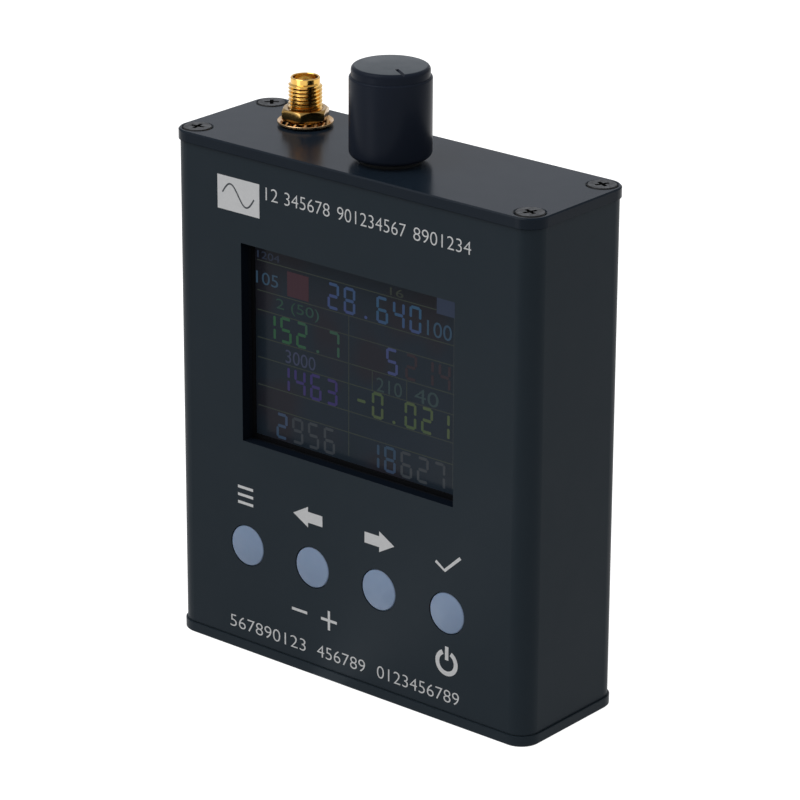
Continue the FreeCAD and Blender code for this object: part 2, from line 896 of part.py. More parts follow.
def makeChips():
    can = newBody("shield_can")
    left = "(canInset - caseWidth / 2)"
    right = f"({left} + canWidth)"
    high = f"({mainBoardTop} - canDrop)"
    low = f"({high} - canTall)"
    front = f"({mainBoardFront} - canHeight)"
    pad(can, "XZ_Plane", front, mainBoardFront, lambda sk: rectangle(sk, left, low, right, high))
    pocket(
        can, "XZ_Plane", f"{front} + canWall", mainBoardFront,
        lambda sk: rectangle(
            sk, f"{left} + canWall", f"{low} + canWall", f"{right} - canWall", f"{high} - canWall"
        ),
    )
    keep(can)

    chipFront = f"({mainBoardFront} - processorHeight)"
    keep(
        box(
            "processor_chip", around("processorX", "processorSide"), (chipFront, mainBoardFront),
            around("processorUp", "processorSide"),
        )
    )

    chips = newBody("board_chips")
    # Centre across, centre up, width and height of each small chip, in steps of the layout grid
    places = (
        (-14, 45, 7, 7),
        (-22, 45, 4, 5),
        (26, 66, 5, 4),
        (26, 44, 5, 6),
        (-20, 76, 6, 6),
        (12, 12, 4, 4),
    )

    def smallChips(sketch):
        for steps in places:
            middleRectangle(sketch, *(f"({step} * chipGrid)" for step in steps))

    pad(chips, "XZ_Plane", f"{mainBoardFront} - chipHeight", mainBoardFront, smallChips)
    keep(chips)


# Buttons and tact switches

switchFront = f"({frontBoardFront} - switchHeight)"
coverFront = f"({switchFront} - switchCover)"
plungerFront = f"({coverFront} - plungerProud)"
plungerBack = f"({switchFront} + plungerDepth - plungerProud)"


def makeButtons():
    radius = "(buttonDiameter / 2)"
    flangeFront = f"({frontInner} + buttonSeatGap)"
    flangeBack = f"({flangeFront} + buttonFlangeThickness)"
    # The dome is a cap of a sphere that rises by buttonDome over the rim inside the round edge.
    domeChord = f"({radius} - buttonEdge)"
    domeRadius = f"(({domeChord} ^ 2 + buttonDome ^ 2) / (2 * buttonDome))"
    for name, x in zip(buttonNames, buttonPlaces):
        cap = newBody(f"button_cap_{name}")
        turned(
            cap,
            [
                ("0", f"{frontFace} - buttonDome", f"{domeRadius}"),
                (domeChord, frontFace, "buttonEdge"),
                (radius, f"{frontFace} + buttonEdge"),
                (radius, flangeFront),
                (f"{radius} + buttonFlange", flangeFront),
                (f"{radius} + buttonFlange", flangeBack),
                ("stemDiameter / 2", flangeBack),
                ("stemDiameter / 2", plungerFront),
                ("0", plungerFront),
            ],
            plane="XY_Plane",
        )
        keep(place(cap, x, "0", "buttonUp"))

        plunger = newBody(f"switch_plunger_{name}")
        turned(
            plunger,
            [
                ("0", plungerFront),
                ("plungerDiameter / 2", plungerFront),
                ("plungerDiameter / 2", plungerBack),
                ("0", plungerBack),
            ],
            plane="XY_Plane",
        )
        keep(place(plunger, x, "0", "buttonUp"))


def makeSwitches():
    spots = [(x, "buttonUp") for x in buttonPlaces]
    well = "(plungerDiameter / 2 + plungerFit)"

    def squares(sketch):
        for x, y in spots:
            middleRectangle(sketch, x, y, "switchSide", "switchSide")

    bodies = newBody("switch_bodies")
    pad(bodies, "XZ_Plane", switchFront, frontBoardFront, squares)
    pocket(
        bodies, "XZ_Plane", switchFront, f"{plungerBack} + buttonTravel + plungerFit",
        holesAt(spots, well),
    )
    keep(bodies)

    covers = newBody("switch_covers")
    pad(covers, "XZ_Plane", coverFront, switchFront, squares)
    pocket(covers, "XZ_Plane", coverFront, switchFront, holesAt(spots, well))
    keep(covers)


# Radio-frequency connector: threaded jack, dielectric, centre contact, washer, nut

rfTop = f"({caseTop} + rfHeight)"
rfCrest = "(rfThreadDiameter / 2)"
rfRoot = f"({rfCrest} - rfThreadDepth)"
rfDielectricTop = f"({rfTop} - rfMouthDepth)"


def makeConnector():
    jack = newBody("rf_jack")
    bore = "(rfDielectricDiameter / 2)"
    half = "(rfFlangeSide / 2)"

    def flange(sketch):
        middleRectangle(sketch, "0", "0", "rfFlangeSide", "rfFlangeSide")
        circle(sketch, "0", "0", bore)

    pad(jack, "XY_Plane", f"{sleeveTop} - rfFlangeThickness", sleeveTop, flange)

    # Thread ridges, counted down from the nose to just above the flange
    firstCrest = f"({rfTop} - rfNose - rfNoseTaper - rfPitch / 8)"
    ridges = int(value(f"({firstCrest} - {sleeveTop}) / rfPitch"))
    flat = "rfPitch / 16"
    points = [
        (bore, sleeveTop),
        (bore, rfDielectricTop),
        ("rfMouthDiameter / 2", rfDielectricTop),
        ("rfMouthDiameter / 2", f"{rfTop} - rfRim"),
        ("rfMouthDiameter / 2 + rfRim", rfTop),
        (f"{rfRoot} - rfRim", rfTop),
        (rfRoot, f"{rfTop} - rfRim"),
        (rfRoot, f"{rfTop} - rfNose"),
    ]
    for ridge in range(ridges):
        crest = f"({firstCrest} - {ridge} * rfPitch)"
        valley = f"({crest} - rfPitch / 2)"
        points += [
            (rfCrest, f"{crest} + {flat}"),
            (rfCrest, f"{crest} - {flat}"),
            (rfRoot, f"{valley} + {flat}"),
            (rfRoot, f"{valley} - {flat}"),
        ]
    points[-1] = (rfRoot, sleeveTop)
    turned(jack, points)

    def legs(sketch):
        before = "(rfPinDiameter / 2 - rfLegInset)"
        behind = "(rfPinDiameter / 2 + mainBoardThickness + rfLegInset)"
        rows = ((f"{before} - rfLegThickness", before), (behind, f"{behind} + rfLegThickness"))
        for near, far in rows:
            rectangle(sketch, f"-{half}", near, f"-{half} + rfLegWidth", far)
            rectangle(sketch, f"{half} - rfLegWidth", near, half, far)

    flangeLow = f"({sleeveTop} - rfFlangeThickness)"
    pad(jack, "XY_Plane", f"{flangeLow} - rfLegLength", flangeLow, legs)
    keep(place(jack, rfX, rfY))

    insulator = newBody("rf_insulator")
    turned(
        insulator,
        [
            ("rfContactDiameter / 2 + rfFit", flangeLow),
            (f"{bore} - rfFit", flangeLow),
            (f"{bore} - rfFit", rfDielectricTop),
            ("rfContactDiameter / 2 + rfFit", rfDielectricTop),
        ],
    )
    keep(place(insulator, rfX, rfY))

    contact = newBody("rf_contact")
    contactTop = f"({rfDielectricTop} - rfContactSetback)"
    turned(
        contact,
        [
            ("0", f"{flangeLow} - rfPinLength"),
            ("rfPinDiameter / 2", f"{flangeLow} - rfPinLength"),
            ("rfPinDiameter / 2", flangeLow),
            ("rfContactDiameter / 2", flangeLow),
            ("rfContactDiameter / 2", contactTop),
            ("rfContactBore / 2", contactTop),
            ("rfContactBore / 2", f"{contactTop} - rfContactDepth"),
            ("0", f"{contactTop} - rfContactDepth"),
        ],
    )
    keep(place(contact, rfX, rfY))

    washer = newBody("rf_lock_washer")
    outer = "(rfWasherDiameter / 2)"
    inner = f"({outer} - rfWasherBand)"
    turned(
        washer,
        [
            (inner, "0"),
            (outer, "rfWasherDish"),
            (outer, "rfWasherDish + rfWasherThickness"),
            (inner, "rfWasherThickness"),
        ],
    )
    tooth = pad(
        washer, "XY_Plane", "0", "rfToothHeight",
        lambda sk: rectangle(
            sk, f"{rfCrest} + rfPanelFit", "-rfToothWidth / 2", f"{inner} + rfToothRoot", "rfToothWidth / 2"
        ),
    )
    polar(washer, [tooth], washerTeeth)
    keep(place(washer, rfX, rfY, caseTop))

    nut = newBody("rf_nut")

    def nutSection(sketch):
        hexagon(sketch, "0", "0", "rfNutFlats", "rfNutAngle")
        circle(sketch, "0", "0", f"{rfCrest} + rfFit")

    pad(nut, "XY_Plane", "0", "rfNutThickness", nutSection)
    # Each bevel takes its full height off a corner and runs out at the middle of the flats.
    inset = "(rfNutFlats / 2 - rfFit)"
    corner = "(rfNutFlats / 2 / cos(30))"
    reach = f"(2 * {corner} - {inset})"
    for level, drop in (("rfNutThickness", "-2 * rfNutTopBevel"), ("0", "2 * rfNutFootBevel")):
        points = [(inset, level), (reach, level), (reach, f"{level} + ({drop})")]
        turned(nut, points, kind="Groove")
    keep(place(nut, rfX, rfY, f"{caseTop} + rfToothHeight"))


# Encoder below the knob

wellFloor = f"({sleeveTop} - encoderHeight + encoderFloor)"
pushLow = f"({wellFloor} + pushTravel + pushClearance)"
pushHigh = f"({pushLow} + pushThickness)"
shaftLow = f"({pushHigh} + pushGap)"
shaftTop = f"({sleeveTop} + shaftReach)"

def makeEncoder():
    bore = "(shaftDiameter / 2 + shaftFit)"
    housing = newBody("encoder_housing")
    pad(
        housing, "XY_Plane", encoderLow, sleeveTop,
        lambda sk: middleRectangle(sk, "0", "0", "encoderSide", "encoderSide"),
    )
    pocket(housing, "XY_Plane", wellFloor, sleeveTop, lambda sk: circle(sk, "0", "0", bore))
    keep(place(housing, "knobX", knobY))

    bushing = newBody("encoder_bushing")
    bushingTop = f"({sleeveTop} + bushingHeight)"
    turned(
        bushing,
        [
            (bore, sleeveTop),
            ("bushingDiameter / 2", sleeveTop),
            ("bushingDiameter / 2", f"{bushingTop} - bushingChamfer"),
            ("bushingDiameter / 2 - bushingChamfer", bushingTop),
            (bore, bushingTop),
        ],
    )
    keep(place(bushing, "knobX", knobY))

    washer = newBody("encoder_washer")
    turned(
        washer,
        [
            ("bushingDiameter / 2 + bushingFit", "0"),
            ("encoderWasherDiameter / 2", "0"),
            ("encoderWasherDiameter / 2", "encoderWasherThickness"),
            ("bushingDiameter / 2 + bushingFit", "encoderWasherThickness"),
        ],
    )
    keep(place(washer, "knobX", knobY, caseTop))

    nut = newBody("encoder_nut")

    def nutSection(sketch):
        hexagon(sketch, "0", "0", "encoderNutFlats")
        circle(sketch, "0", "0", "bushingDiameter / 2 + encoderNutFit")

    pad(nut, "XY_Plane", "0", "encoderNutThickness", nutSection)
    keep(place(nut, "knobX", knobY, f"{caseTop} + encoderWasherThickness"))

    shaft = newBody("encoder_shaft")
    pad(shaft, "XY_Plane", shaftLow, shaftTop, lambda sk: circle(sk, "0", "0", "shaftDiameter / 2"))
    pocket(
        shaft, "XY_Plane", f"{shaftTop} - flatLength", shaftTop,
        lambda sk: rectangle(
            sk, "-shaftDiameter", "shaftDiameter / 2 - shaftFlat", "shaftDiameter", "shaftDiameter"
        ),
    )
    keep(place(shaft, "knobX", knobY))

    push = newBody("encoder_push_plunger")
    pad(push, "XY_Plane", pushLow, pushHigh, lambda sk: circle(sk, "0", "0", "pushDiameter / 2"))
    keep(place(push, "knobX", knobY))

    pinSpots = [(f"{step} * encoderPinPitch", "-encoderPinRow") for step in (-1, 0, 1)]
    pinSpots += [(f"{step} * encoderPinPitch", "encoderPinRow") for step in (-1, 1)]

    def squares(side):
        def draw(sketch):
            for x, y in pinSpots:
                middleRectangle(sketch, x, y, side, side)

        return draw

    pins = newBody("encoder_pins")
    pad(pins, "XY_Plane", encoderBoardLow, encoderLow, squares("encoderPinSide"))
    keep(place(pins, "knobX", knobY))

    board = newBody("encoder_board")
    pad(
        board, "XY_Plane", encoderBoardLow, encoderLow,
        lambda sk: middleRectangle(sk, "0", "0", "encoderBoardWidth", encoderBoardDepth),
    )
    pocket(board, "XY_Plane", encoderBoardLow, encoderLow, squares("(encoderPinSide + 2 * encoderNutFit)"))
    keep(place(board, "knobX", knobY))


def makeEncoderCable():
    cableY = f"({frontBoardBack} + cableSetback)"
    cableTop = f"({encoderBoardLow} - plugTall)"
    socketLow = f"({frontBoardTop} - cableSocketDrop)"
    cableLow = f"({socketLow} + cableSocketTall)"
    cable = newBody("encoder_cable")
    pad(
        cable, "XY_Plane", cableLow, cableTop,
        lambda sk: roundedRectangle(
            sk, "0", "0", "cableWidth", "cableThickness", "(cableThickness / 2 - pinFit)"
        ),
    )
    keep(place(cable, "knobX", cableY))

    plug = box(
        "upper_plug", around("knobX", "plugWidth"), around(cableY, "plugDepth"), (cableTop, encoderBoardLow)
    )
    lower = box(
        "lower_plug", around("knobX", "plugWidth"), (frontBoardBack, f"{cableY} + plugDepth / 2"),
        (socketLow, cableLow),
    )
    pair = doc.addObject("Part::Compound", "cable_connectors")
    pair.Label = "cable_connectors"
    pair.Links = [plug, lower]
    keep(pair)


# Knob with its brass insert and set screw


def makeKnob():
    radius, neck = "(knobDiameter / 2)", "(knobDiameter / 2 - knobShoulder)"
    neckFoot = "(knobHeight - knobNeckHeight)"
    insertRadius = "(insertDiameter / 2)"
    insertTop = "(insertLift + insertHeight)"
    knobLow = f"({caseTop} + knobGap)"
    # The foot's round leaves the underside flat and meets the side at knobFootDrop.
    footRadius = "((knobFootInset ^ 2 + knobFootDrop ^ 2) / (2 * knobFootDrop))"
    knob = newBody("knob")
    turned(
        knob,
        [
            ("knobSkirtBore / 2", "0"),
            (f"{radius} - knobFootInset", "0", footRadius),
            (radius, "knobFootDrop"),
            (radius, f"{neckFoot} - knobShoulder", "knobShoulder"),
            (neck, neckFoot),
            (neck, "knobHeight - knobTopRound", "knobTopRound"),
            (f"{neck} - knobTopRound", "knobHeight"),
            ("0", "knobHeight"),
            ("0", insertTop),
            (f"{insertRadius} + insertFit", insertTop),
            (f"{insertRadius} + insertFit", "knobSkirtDepth"),
            ("knobSkirtBore / 2", "knobSkirtDepth"),
        ],
    )

    def groove(sketch):
        # A straight slot along the pointer's direction, from its inner end out to the rim
        alongX, alongY = "cos(pointerAngle)", "sin(pointerAngle)"
        half = "pointerWidth / 2"
        ends = (("pointerStart", -1), (radius, -1), (radius, 1), ("pointerStart", 1))
        outline(
            sketch,
            [
                (
                    f"{reach} * {alongX} - {side} * {half} * {alongY}",
                    f"{reach} * {alongY} + {side} * {half} * {alongX}",
                )
                for reach, side in ends
            ],
        )

    pocket(knob, "XY_Plane", "knobHeight - pointerDepth", "knobHeight", groove)

    insert = newBody("knob_insert")
    pad(insert, "XY_Plane", "insertLift", insertTop, lambda sk: circle(sk, "0", "0", insertRadius))
    # A D-shaped bore: the round part and the flat follow the shaft's own
    bore = "(shaftDiameter / 2 + shaftFit)"
    flat = "(shaftDiameter / 2 - shaftFlat + shaftFit)"
    edge = f"(sqrt({bore} ^ 2 - {flat} ^ 2))"

    def dBore(sketch):
        outline(
            sketch,
            [
                (f"-{edge}", flat, f"{bore}"),
                ("0", f"-{bore}", f"{bore}"),
                (edge, flat),
            ],
        )

    shaftEnd = f"({shaftTop} - {knobLow})"
    flatFoot = f"({shaftEnd} - flatLength)"
    pocket(insert, "XY_Plane", flatFoot, f"{shaftEnd} + shaftFit", dBore)
    pocket(insert, "XY_Plane", "insertLift", flatFoot, lambda sk: circle(sk, "0", "0", bore))

    # The set screw's hole runs out to the back through the insert and the knob.
    for body in (knob, insert):
        hole = body.newObject("PartDesign::SubtractiveCylinder", "tunnel")
        bind(hole, "Radius", "setScrewDiameter / 2 + insertFit")
        bind(hole, "Height", "knobDiameter")
        hole.Placement.Rotation = FreeCAD.Rotation(Vector(0, 0, 1), Vector(0, 1, 0))
        bind(hole, "Placement.Base.z", "setScrewUp")
        doc.recompute()

    screw = newBody("knob_set_screw")
    turned(
        screw,
        [
            ("0", "shaftDiameter / 2 - shaftFlat"),
            ("setScrewDiameter / 2", "shaftDiameter / 2 - shaftFlat"),
            ("setScrewDiameter / 2", f"{radius} - setScrewSetback"),
            ("setScrewDiameter / 4", f"{radius} - setScrewSetback"),
            ("setScrewDiameter / 4", f"{radius} - setScrewDiameter / 2"),
            ("0", f"{radius} - setScrewDiameter / 2"),
        ],
        plane="XY_Plane",
    )
    for body in (knob, insert):
        keep(place(body, "knobX", knobY, knobLow))
    keep(place(screw, "knobX", knobY, f"{knobLow} + setScrewUp"))


# Battery with its tape, board, leads, plug and socket


def makeBattery():
    cellFront = f"({backInner} - tapeThickness - batteryThickness)"
    cellBack = f"({backInner} - tapeThickness)"
    socketLow = f"({mainBoardTop} - batterySocketDrop)"
    cellTop = f"({socketLow} - batteryTopGap)"
    cell = newBody("battery_cell")
    pad(
        cell, "XY_Plane", "batteryBottom", cellTop,
        lambda sk: roundedRectangle(
            sk, "0", f"({cellFront} + {cellBack}) / 2", "batteryWidth", "batteryThickness", "batteryCorner"
        ),
    )
    keep(cell)

    tape = newBody("battery_tape")

    def strips(sketch):
        for middle in ("(batteryBottom + tapeInset)", f"({cellTop} - tapeInset)"):
            middleRectangle(sketch, "0", middle, "tapeWidth", "tapeTall")

    pad(tape, "XZ_Plane", cellBack, backInner, strips)
    keep(tape)

    plugY = f"({mainBoardBack} + batterySocketHeight / 2)"
    boardTop = f"({cellTop} + batteryBoardTall)"
    keep(
        box(
            "battery_board", around("0", "batteryBoardWidth"), around(plugY, "batteryBoardThickness"),
            (cellTop, boardTop),
        )
    )

    socketLeft, socketRight = "batterySocketX", "(batterySocketX + batterySocketWidth)"
    socketTop = f"({socketLow} + batterySocketTall)"
    socket = newBody("battery_connector")
    pad(
        socket, "YZ_Plane", socketLeft, socketRight,
        lambda sk: rectangle(
            sk, mainBoardBack, socketLow, f"{mainBoardBack} + batterySocketHeight", socketTop
        ),
    )
    cavity = socket.newObject("PartDesign::SubtractiveBox", "cavity")
    wall = "batterySocketWall"
    bind(cavity, "Length", f"batterySocketWidth - {wall}")
    bind(cavity, "Width", f"batterySocketHeight - 2 * {wall}")
    bind(cavity, "Height", f"batterySocketTall - 2 * {wall}")
    place(cavity, socketLeft, f"{mainBoardBack} + {wall}", f"{socketLow} + {wall}")
    doc.recompute()
    keep(socket)

    plugLeft = f"({socketLeft} - plugProud)"
    slack = f"({wall} + batteryPlugFit)"
    keep(
        box(
            "battery_plug",
            (plugLeft, f"{socketRight} - {slack}"),
            (f"{mainBoardBack} + {slack}", f"{mainBoardBack} + batterySocketHeight - {slack}"),
            (f"{socketLow} + {slack}", f"{socketTop} - {slack}"),
        )
    )

    plugUp = f"(({socketLow} + {socketTop}) / 2)"
    for name, side in (("red", -1), ("black", 1)):
        x = f"({side} * leadSpread / 2)"
        level = f"({plugUp} - {side} * leadSpread / 2)"
        lead = newBody(f"battery_lead_{name}")
        route = newSketch(lead, "XZ_Plane")
        corner = Vector(value(f"{x} + leadBend"), value(f"{level} - leadBend"), 0)
        foot = Vector(value(x), value(boardTop), 0)
        bendStart = Vector(value(x), value(f"{level} - leadBend"), 0)
        bendEnd = Vector(value(f"{x} + leadBend"), value(level), 0)
        tip = Vector(value(plugLeft), value(level), 0)
        route.addGeometry(Part.LineSegment(foot, bendStart))
        arc = Part.Circle(corner, Vector(0, 0, 1), value("leadBend"))
        route.addGeometry(Part.ArcOfCircle(arc, math.pi / 2, math.pi))
        route.addGeometry(Part.LineSegment(bendEnd, tip))
        route.addConstraint(Sketcher.Constraint("Coincident", 0, 2, 1, 2))
        route.addConstraint(Sketcher.Constraint("Coincident", 1, 1, 2, 1))
        pin(route, 0, 1, x, boardTop)
        pin(route, 0, 2, x, f"{level} - leadBend")
        pin(route, 2, 1, f"{x} + leadBend", level)
        pin(route, 2, 2, plugLeft, level)
        radiusOf(route, 1, "leadBend")
        section = newSketch(lead, "XY_Plane", boardTop)
        circle(section, x, "0", "leadDiameter / 2")
        doc.recompute()
        pipe = lead.newObject("PartDesign::AdditivePipe", "pipe")
        pipe.Profile = section
        pipe.Spine = (route, ["Edge1", "Edge2", "Edge3"])
        doc.recompute()
        keep(place(lead, "0", plugY))


# Charging socket and its light, at the bottom end of the main board


def makeCharging():
    low, high = "usbRecess", "(usbRecess + usbLength)"
    shell = newBody("usb_shell")
    pad(
        shell, "XY_Plane", low, high,
        lambda sk: roundedRectangle(sk, "0", "0", "usbWidth", "usbHeight", "usbCorner"),
    )
    # The cavity opens downwards, so it is cut from a sketch at its inner end.
    cavity = newSketch(shell, "XY_Plane", f"{high} - usbWall")
    roundedRectangle(
        cavity, "0", "0", "(usbWidth - 2 * usbWall)", "(usbHeight - 2 * usbWall)", "(usbCorner - usbWall)"
    )
    cut = shell.newObject("PartDesign::Pocket", "pocket")
    cut.Profile = cavity
    bind(cut, "Length", "usbLength - usbWall")
    doc.recompute()
    keep(place(shell, usbX, usbY))

    keep(
        box(
            "usb_tongue", around(usbX, "tongueWidth"), around(usbY, "tongueThickness"),
            (f"{low} + tongueSetback", f"{high} - usbWall"),
        )
    )

    # A round lens through the plate, on a small body that sits on the board
    led = newBody("charge_led")
    lensLow = "(plateThickness / 2)"
    lensTop = f"({lensLow} + ledLength)"
    dome = "(ledDiameter / 2)"
    turned(led, [("0", lensLow, dome), (dome, f"{lensLow} + {dome}"), (dome, lensTop), ("0", lensTop)])
    pad(
        led, "XY_Plane", lensTop, f"{lensTop} + ledFootTall",
        lambda sk: middleRectangle(sk, "0", "0", "ledFootWidth", "ledDiameter"),
    )
    keep(place(led, ledX, ledY))


def checkAll():
    for item in doc.Objects:
        if "Invalid" in item.State or "Error" in item.State:
            raise RuntimeError(f"{item.Label} is {item.State}")
    for label, item in nodes.items():
        shape = item.Shape
        if shape.isNull() or not shape.isValid() or not shape.Solids:
            raise RuntimeError(f"{label} has no valid solid")


makeSleeve()
makePlates()
makePlateScrews()
makeDisplay()
makeBoards()
makeBoardLink()
makeChips()
makeButtons()
makeSwitches()
makeConnector()
makeEncoder()
makeEncoderCable()
makeKnob()
makeBattery()
makeCharging()
doc.recompute()
checkAll()

os.makedirs("parts", exist_ok=True)
for label, item in nodes.items():
    item.Shape.exportStep(f"parts/{label}.step")
print(f"{len(nodes)} nodes written")
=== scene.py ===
import json
import math

import bmesh
import bpy
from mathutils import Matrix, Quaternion, Vector


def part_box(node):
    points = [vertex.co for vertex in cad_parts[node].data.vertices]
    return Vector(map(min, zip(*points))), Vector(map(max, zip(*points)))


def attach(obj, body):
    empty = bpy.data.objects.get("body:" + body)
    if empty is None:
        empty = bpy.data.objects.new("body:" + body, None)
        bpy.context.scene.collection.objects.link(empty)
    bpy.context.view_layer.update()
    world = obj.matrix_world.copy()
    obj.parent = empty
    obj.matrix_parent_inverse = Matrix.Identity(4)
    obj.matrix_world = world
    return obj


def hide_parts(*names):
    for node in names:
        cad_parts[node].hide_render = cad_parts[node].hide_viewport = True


# Antenna analyzer, dressed for a studio picture. Lengths in the dictionaries are millimetres,
# in the frame of the solids: X to the right, Y to the back, Z up, origin under the case.

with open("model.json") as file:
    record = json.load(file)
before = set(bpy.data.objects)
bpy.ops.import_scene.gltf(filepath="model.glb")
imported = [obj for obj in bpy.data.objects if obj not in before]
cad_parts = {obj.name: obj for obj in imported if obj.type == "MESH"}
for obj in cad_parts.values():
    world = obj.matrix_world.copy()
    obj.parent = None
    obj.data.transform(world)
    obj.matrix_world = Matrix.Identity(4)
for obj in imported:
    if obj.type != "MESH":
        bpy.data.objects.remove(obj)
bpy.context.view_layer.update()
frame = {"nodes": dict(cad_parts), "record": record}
cadNodes = frame["nodes"]
mm = 0.001
print("solids loaded:", len(cadNodes))


# Camera, where the photograph was taken from

cameraPlace = {
    "target": (1.39, -0.035, 53.444),
    "azimuth": 39.709,
    "elevation": 20.896,
    "roll": 0.2744,
    "distance": 720.5,
    "lens": 176.487,
}


def makeCamera():
    azimuth = math.radians(cameraPlace["azimuth"])
    elevation = math.radians(cameraPlace["elevation"])
    back = Vector((
        math.sin(azimuth) * math.cos(elevation),
        -math.cos(azimuth) * math.cos(elevation),
        math.sin(elevation),
    ))
    bpy.ops.object.camera_add()
    camera = bpy.context.object
    camera.data.sensor_width = 36
    camera.data.lens = cameraPlace["lens"]
    camera.data.clip_start, camera.data.clip_end = 0.05, 20
    camera.location = (Vector(cameraPlace["target"]) + back * cameraPlace["distance"]) * mm
    camera.rotation_mode = "QUATERNION"
    tilt = Quaternion(back, math.radians(cameraPlace["roll"]))
    camera.rotation_quaternion = tilt @ (-back).to_track_quat("-Z", "Y")
    bpy.context.scene.camera = camera
    bpy.context.scene.view_settings.view_transform = "Standard"


makeCamera()
print("camera placed")


# Materials

def linear(hexColour):
    # sRGB hex to linear RGBA
    parts = [int(hexColour[i:i + 2], 16) / 255 for i in (1, 3, 5)]
    return [p / 12.92 if p <= 0.04045 else ((p + 0.055) / 1.055) ** 2.4 for p in parts] + [1.0]


def addNode(tree, kind, inputs=None, **settings):
    node = tree.nodes.new(kind)
    for name, setting in settings.items():
        setattr(node, name, setting)
    for socket, source in (inputs or {}).items():
        if isinstance(source, bpy.types.NodeSocket):
            tree.links.new(source, node.inputs[socket])
        else:
            node.inputs[socket].default_value = source
    return node


def startMaterial(name, **shaderInputs):
    # A new material with its shader and its Object coordinates
    material = bpy.data.materials.new(name)
    material.use_nodes = True
    tree = material.node_tree
    tree.nodes.clear()
    shader = addNode(tree, "ShaderNodeBsdfPrincipled", shaderInputs)
    addNode(tree, "ShaderNodeOutputMaterial", {"Surface": shader.outputs[0]})
    place = addNode(tree, "ShaderNodeTexCoord").outputs["Object"]
    return material, tree, shader, place


def noise(tree, place, sizeMm, detail=2.0, roughness=0.5):
    # Noise whose blotches are about sizeMm across
    return addNode(
        tree, "ShaderNodeTexNoise",
        {"Vector": place, "Scale": 1 / (sizeMm * mm), "Detail": detail, "Roughness": roughness},
    ).outputs["Fac"]


def spread(tree, fac, low, high):
    # Spreads a pattern's middle part over low to high
    return addNode(
        tree, "ShaderNodeMapRange",
        {"Value": fac, "From Min": 0.35, "From Max": 0.65, "To Min": low, "To Max": high},
    ).outputs["Result"]


def blendColours(tree, fac, first, second):
    mix = addNode(tree, "ShaderNodeMix", data_type="RGBA")
    for index, source in ((0, fac), (6, first), (7, second)):
        if isinstance(source, bpy.types.NodeSocket):
            tree.links.new(source, mix.inputs[index])
        else:
            mix.inputs[index].default_value = source
    return mix.outputs[2]


def connect(tree, shader, **sockets):
    for name, source in sockets.items():
        tree.links.new(source, shader.inputs[name])


def surfaceDetail(tree, shader, place, look):
    # Two close colours in broad blotches, uneven gloss, and fine relief
    blotch = noise(tree, place, look["blotch"])
    tone = blendColours(tree, blotch, linear(look["colour"]), linear(look["second"]))
    gloss = spread(tree, noise(tree, place, look["smear"], 3.0), *look["roughness"])
    grain = noise(tree, place, look["grain"], 3.0, 0.6)
    relief = addNode(
        tree, "ShaderNodeBump", {"Height": grain, "Distance": look["depth"] * mm, "Strength": 1.0},
    ).outputs["Normal"]
    connect(tree, shader, **{"Base Color": tone, "Roughness": gloss, "Normal": relief})
    return tone


def plainMaterial(name, look, **shaderInputs):
    material, tree, shader, place = startMaterial(name, **shaderInputs)
    surfaceDetail(tree, shader, place, look)
    return material


# Satin black anodised aluminium: a dyed oxide skin over a lightly blasted extrusion. The eye sees a
# blue-black that greys where light grazes it, with a very fine even grain.
anodisedLook = {
    "colour": "#252e35", "second": "#293138", "blotch": 9.0, "smear": 4.0, "roughness": (0.38, 0.41),
    "grain": 0.12, "depth": 0.0012,
}
# The window's milled edge, darkened with painted shade: its middle in x and z, half its width and height,
# and its depth in y; then the painted shade's colour and the dust
windowEdgeShade = {
    "middle": (-0.15, 62.1), "half": (25.25, 19.45), "depth": (-13.59, -11.5),
    "colour": "#10161f", "dustColour": "#5a6068", "dustSpacing": 3.2,
}


def calc(tree, operation, first, second=0.0):
    return addNode(tree, "ShaderNodeMath", {0: first, 1: second}, operation=operation).outputs[0]


def addDust(tree, place, ground, dustColour, spacing, share=0.035):
    # A few pale specks, at most one in each cell of the pattern
    cells = addNode(tree, "ShaderNodeTexVoronoi", {"Vector": place, "Scale": 1 / (spacing * mm)})
    speck = calc(tree, "LESS_THAN", cells.outputs["Distance"], share)
    return blendColours(tree, speck, ground, linear(dustColour))


def makeSleeveFinish():
    # The anodised extrusion; inside the window its cut edge gets painted shade, near black and without
    # reflection, with a little dust
    material, tree, shader, place = startMaterial("anodisedAluminium")
    ground = surfaceDetail(tree, shader, place, anodisedLook)
    axes = addNode(tree, "ShaderNodeSeparateXYZ", {0: place}).outputs
    near, far = windowEdgeShade["depth"]
    inside = calc(tree, "GREATER_THAN", axes["Y"], near * mm)
    inside = calc(tree, "MULTIPLY", inside, calc(tree, "LESS_THAN", axes["Y"], far * mm))
    for axis, middle, half in zip("XZ", windowEdgeShade["middle"], windowEdgeShade["half"]):
        away = calc(tree, "ABSOLUTE", calc(tree, "SUBTRACT", axes[axis], middle * mm))
        inside = calc(tree, "MULTIPLY", inside, calc(tree, "LESS_THAN", away, half * mm))
    # Painted shade: near black for the window's inner walls, where shade falls, with a few specks of dust on
    # it
    paintedShadeTone, dust = linear(windowEdgeShade["colour"]), windowEdgeShade["dustColour"]
    edge = addDust(tree, place, paintedShadeTone, dust, windowEdgeShade["dustSpacing"])
    # The window's inner walls reflect nothing, which is part of the painted shade
    level = calc(tree, "MULTIPLY", calc(tree, "SUBTRACT", 1.0, inside), 0.05)
    tone = blendColours(tree, inside, ground, edge)
    connect(tree, shader, **{"Base Color": tone, "Specular IOR Level": level})
    return material


knobMiddle = (Vector(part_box("knob")[0]) + Vector(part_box("knob")[1])) / 2 / mm


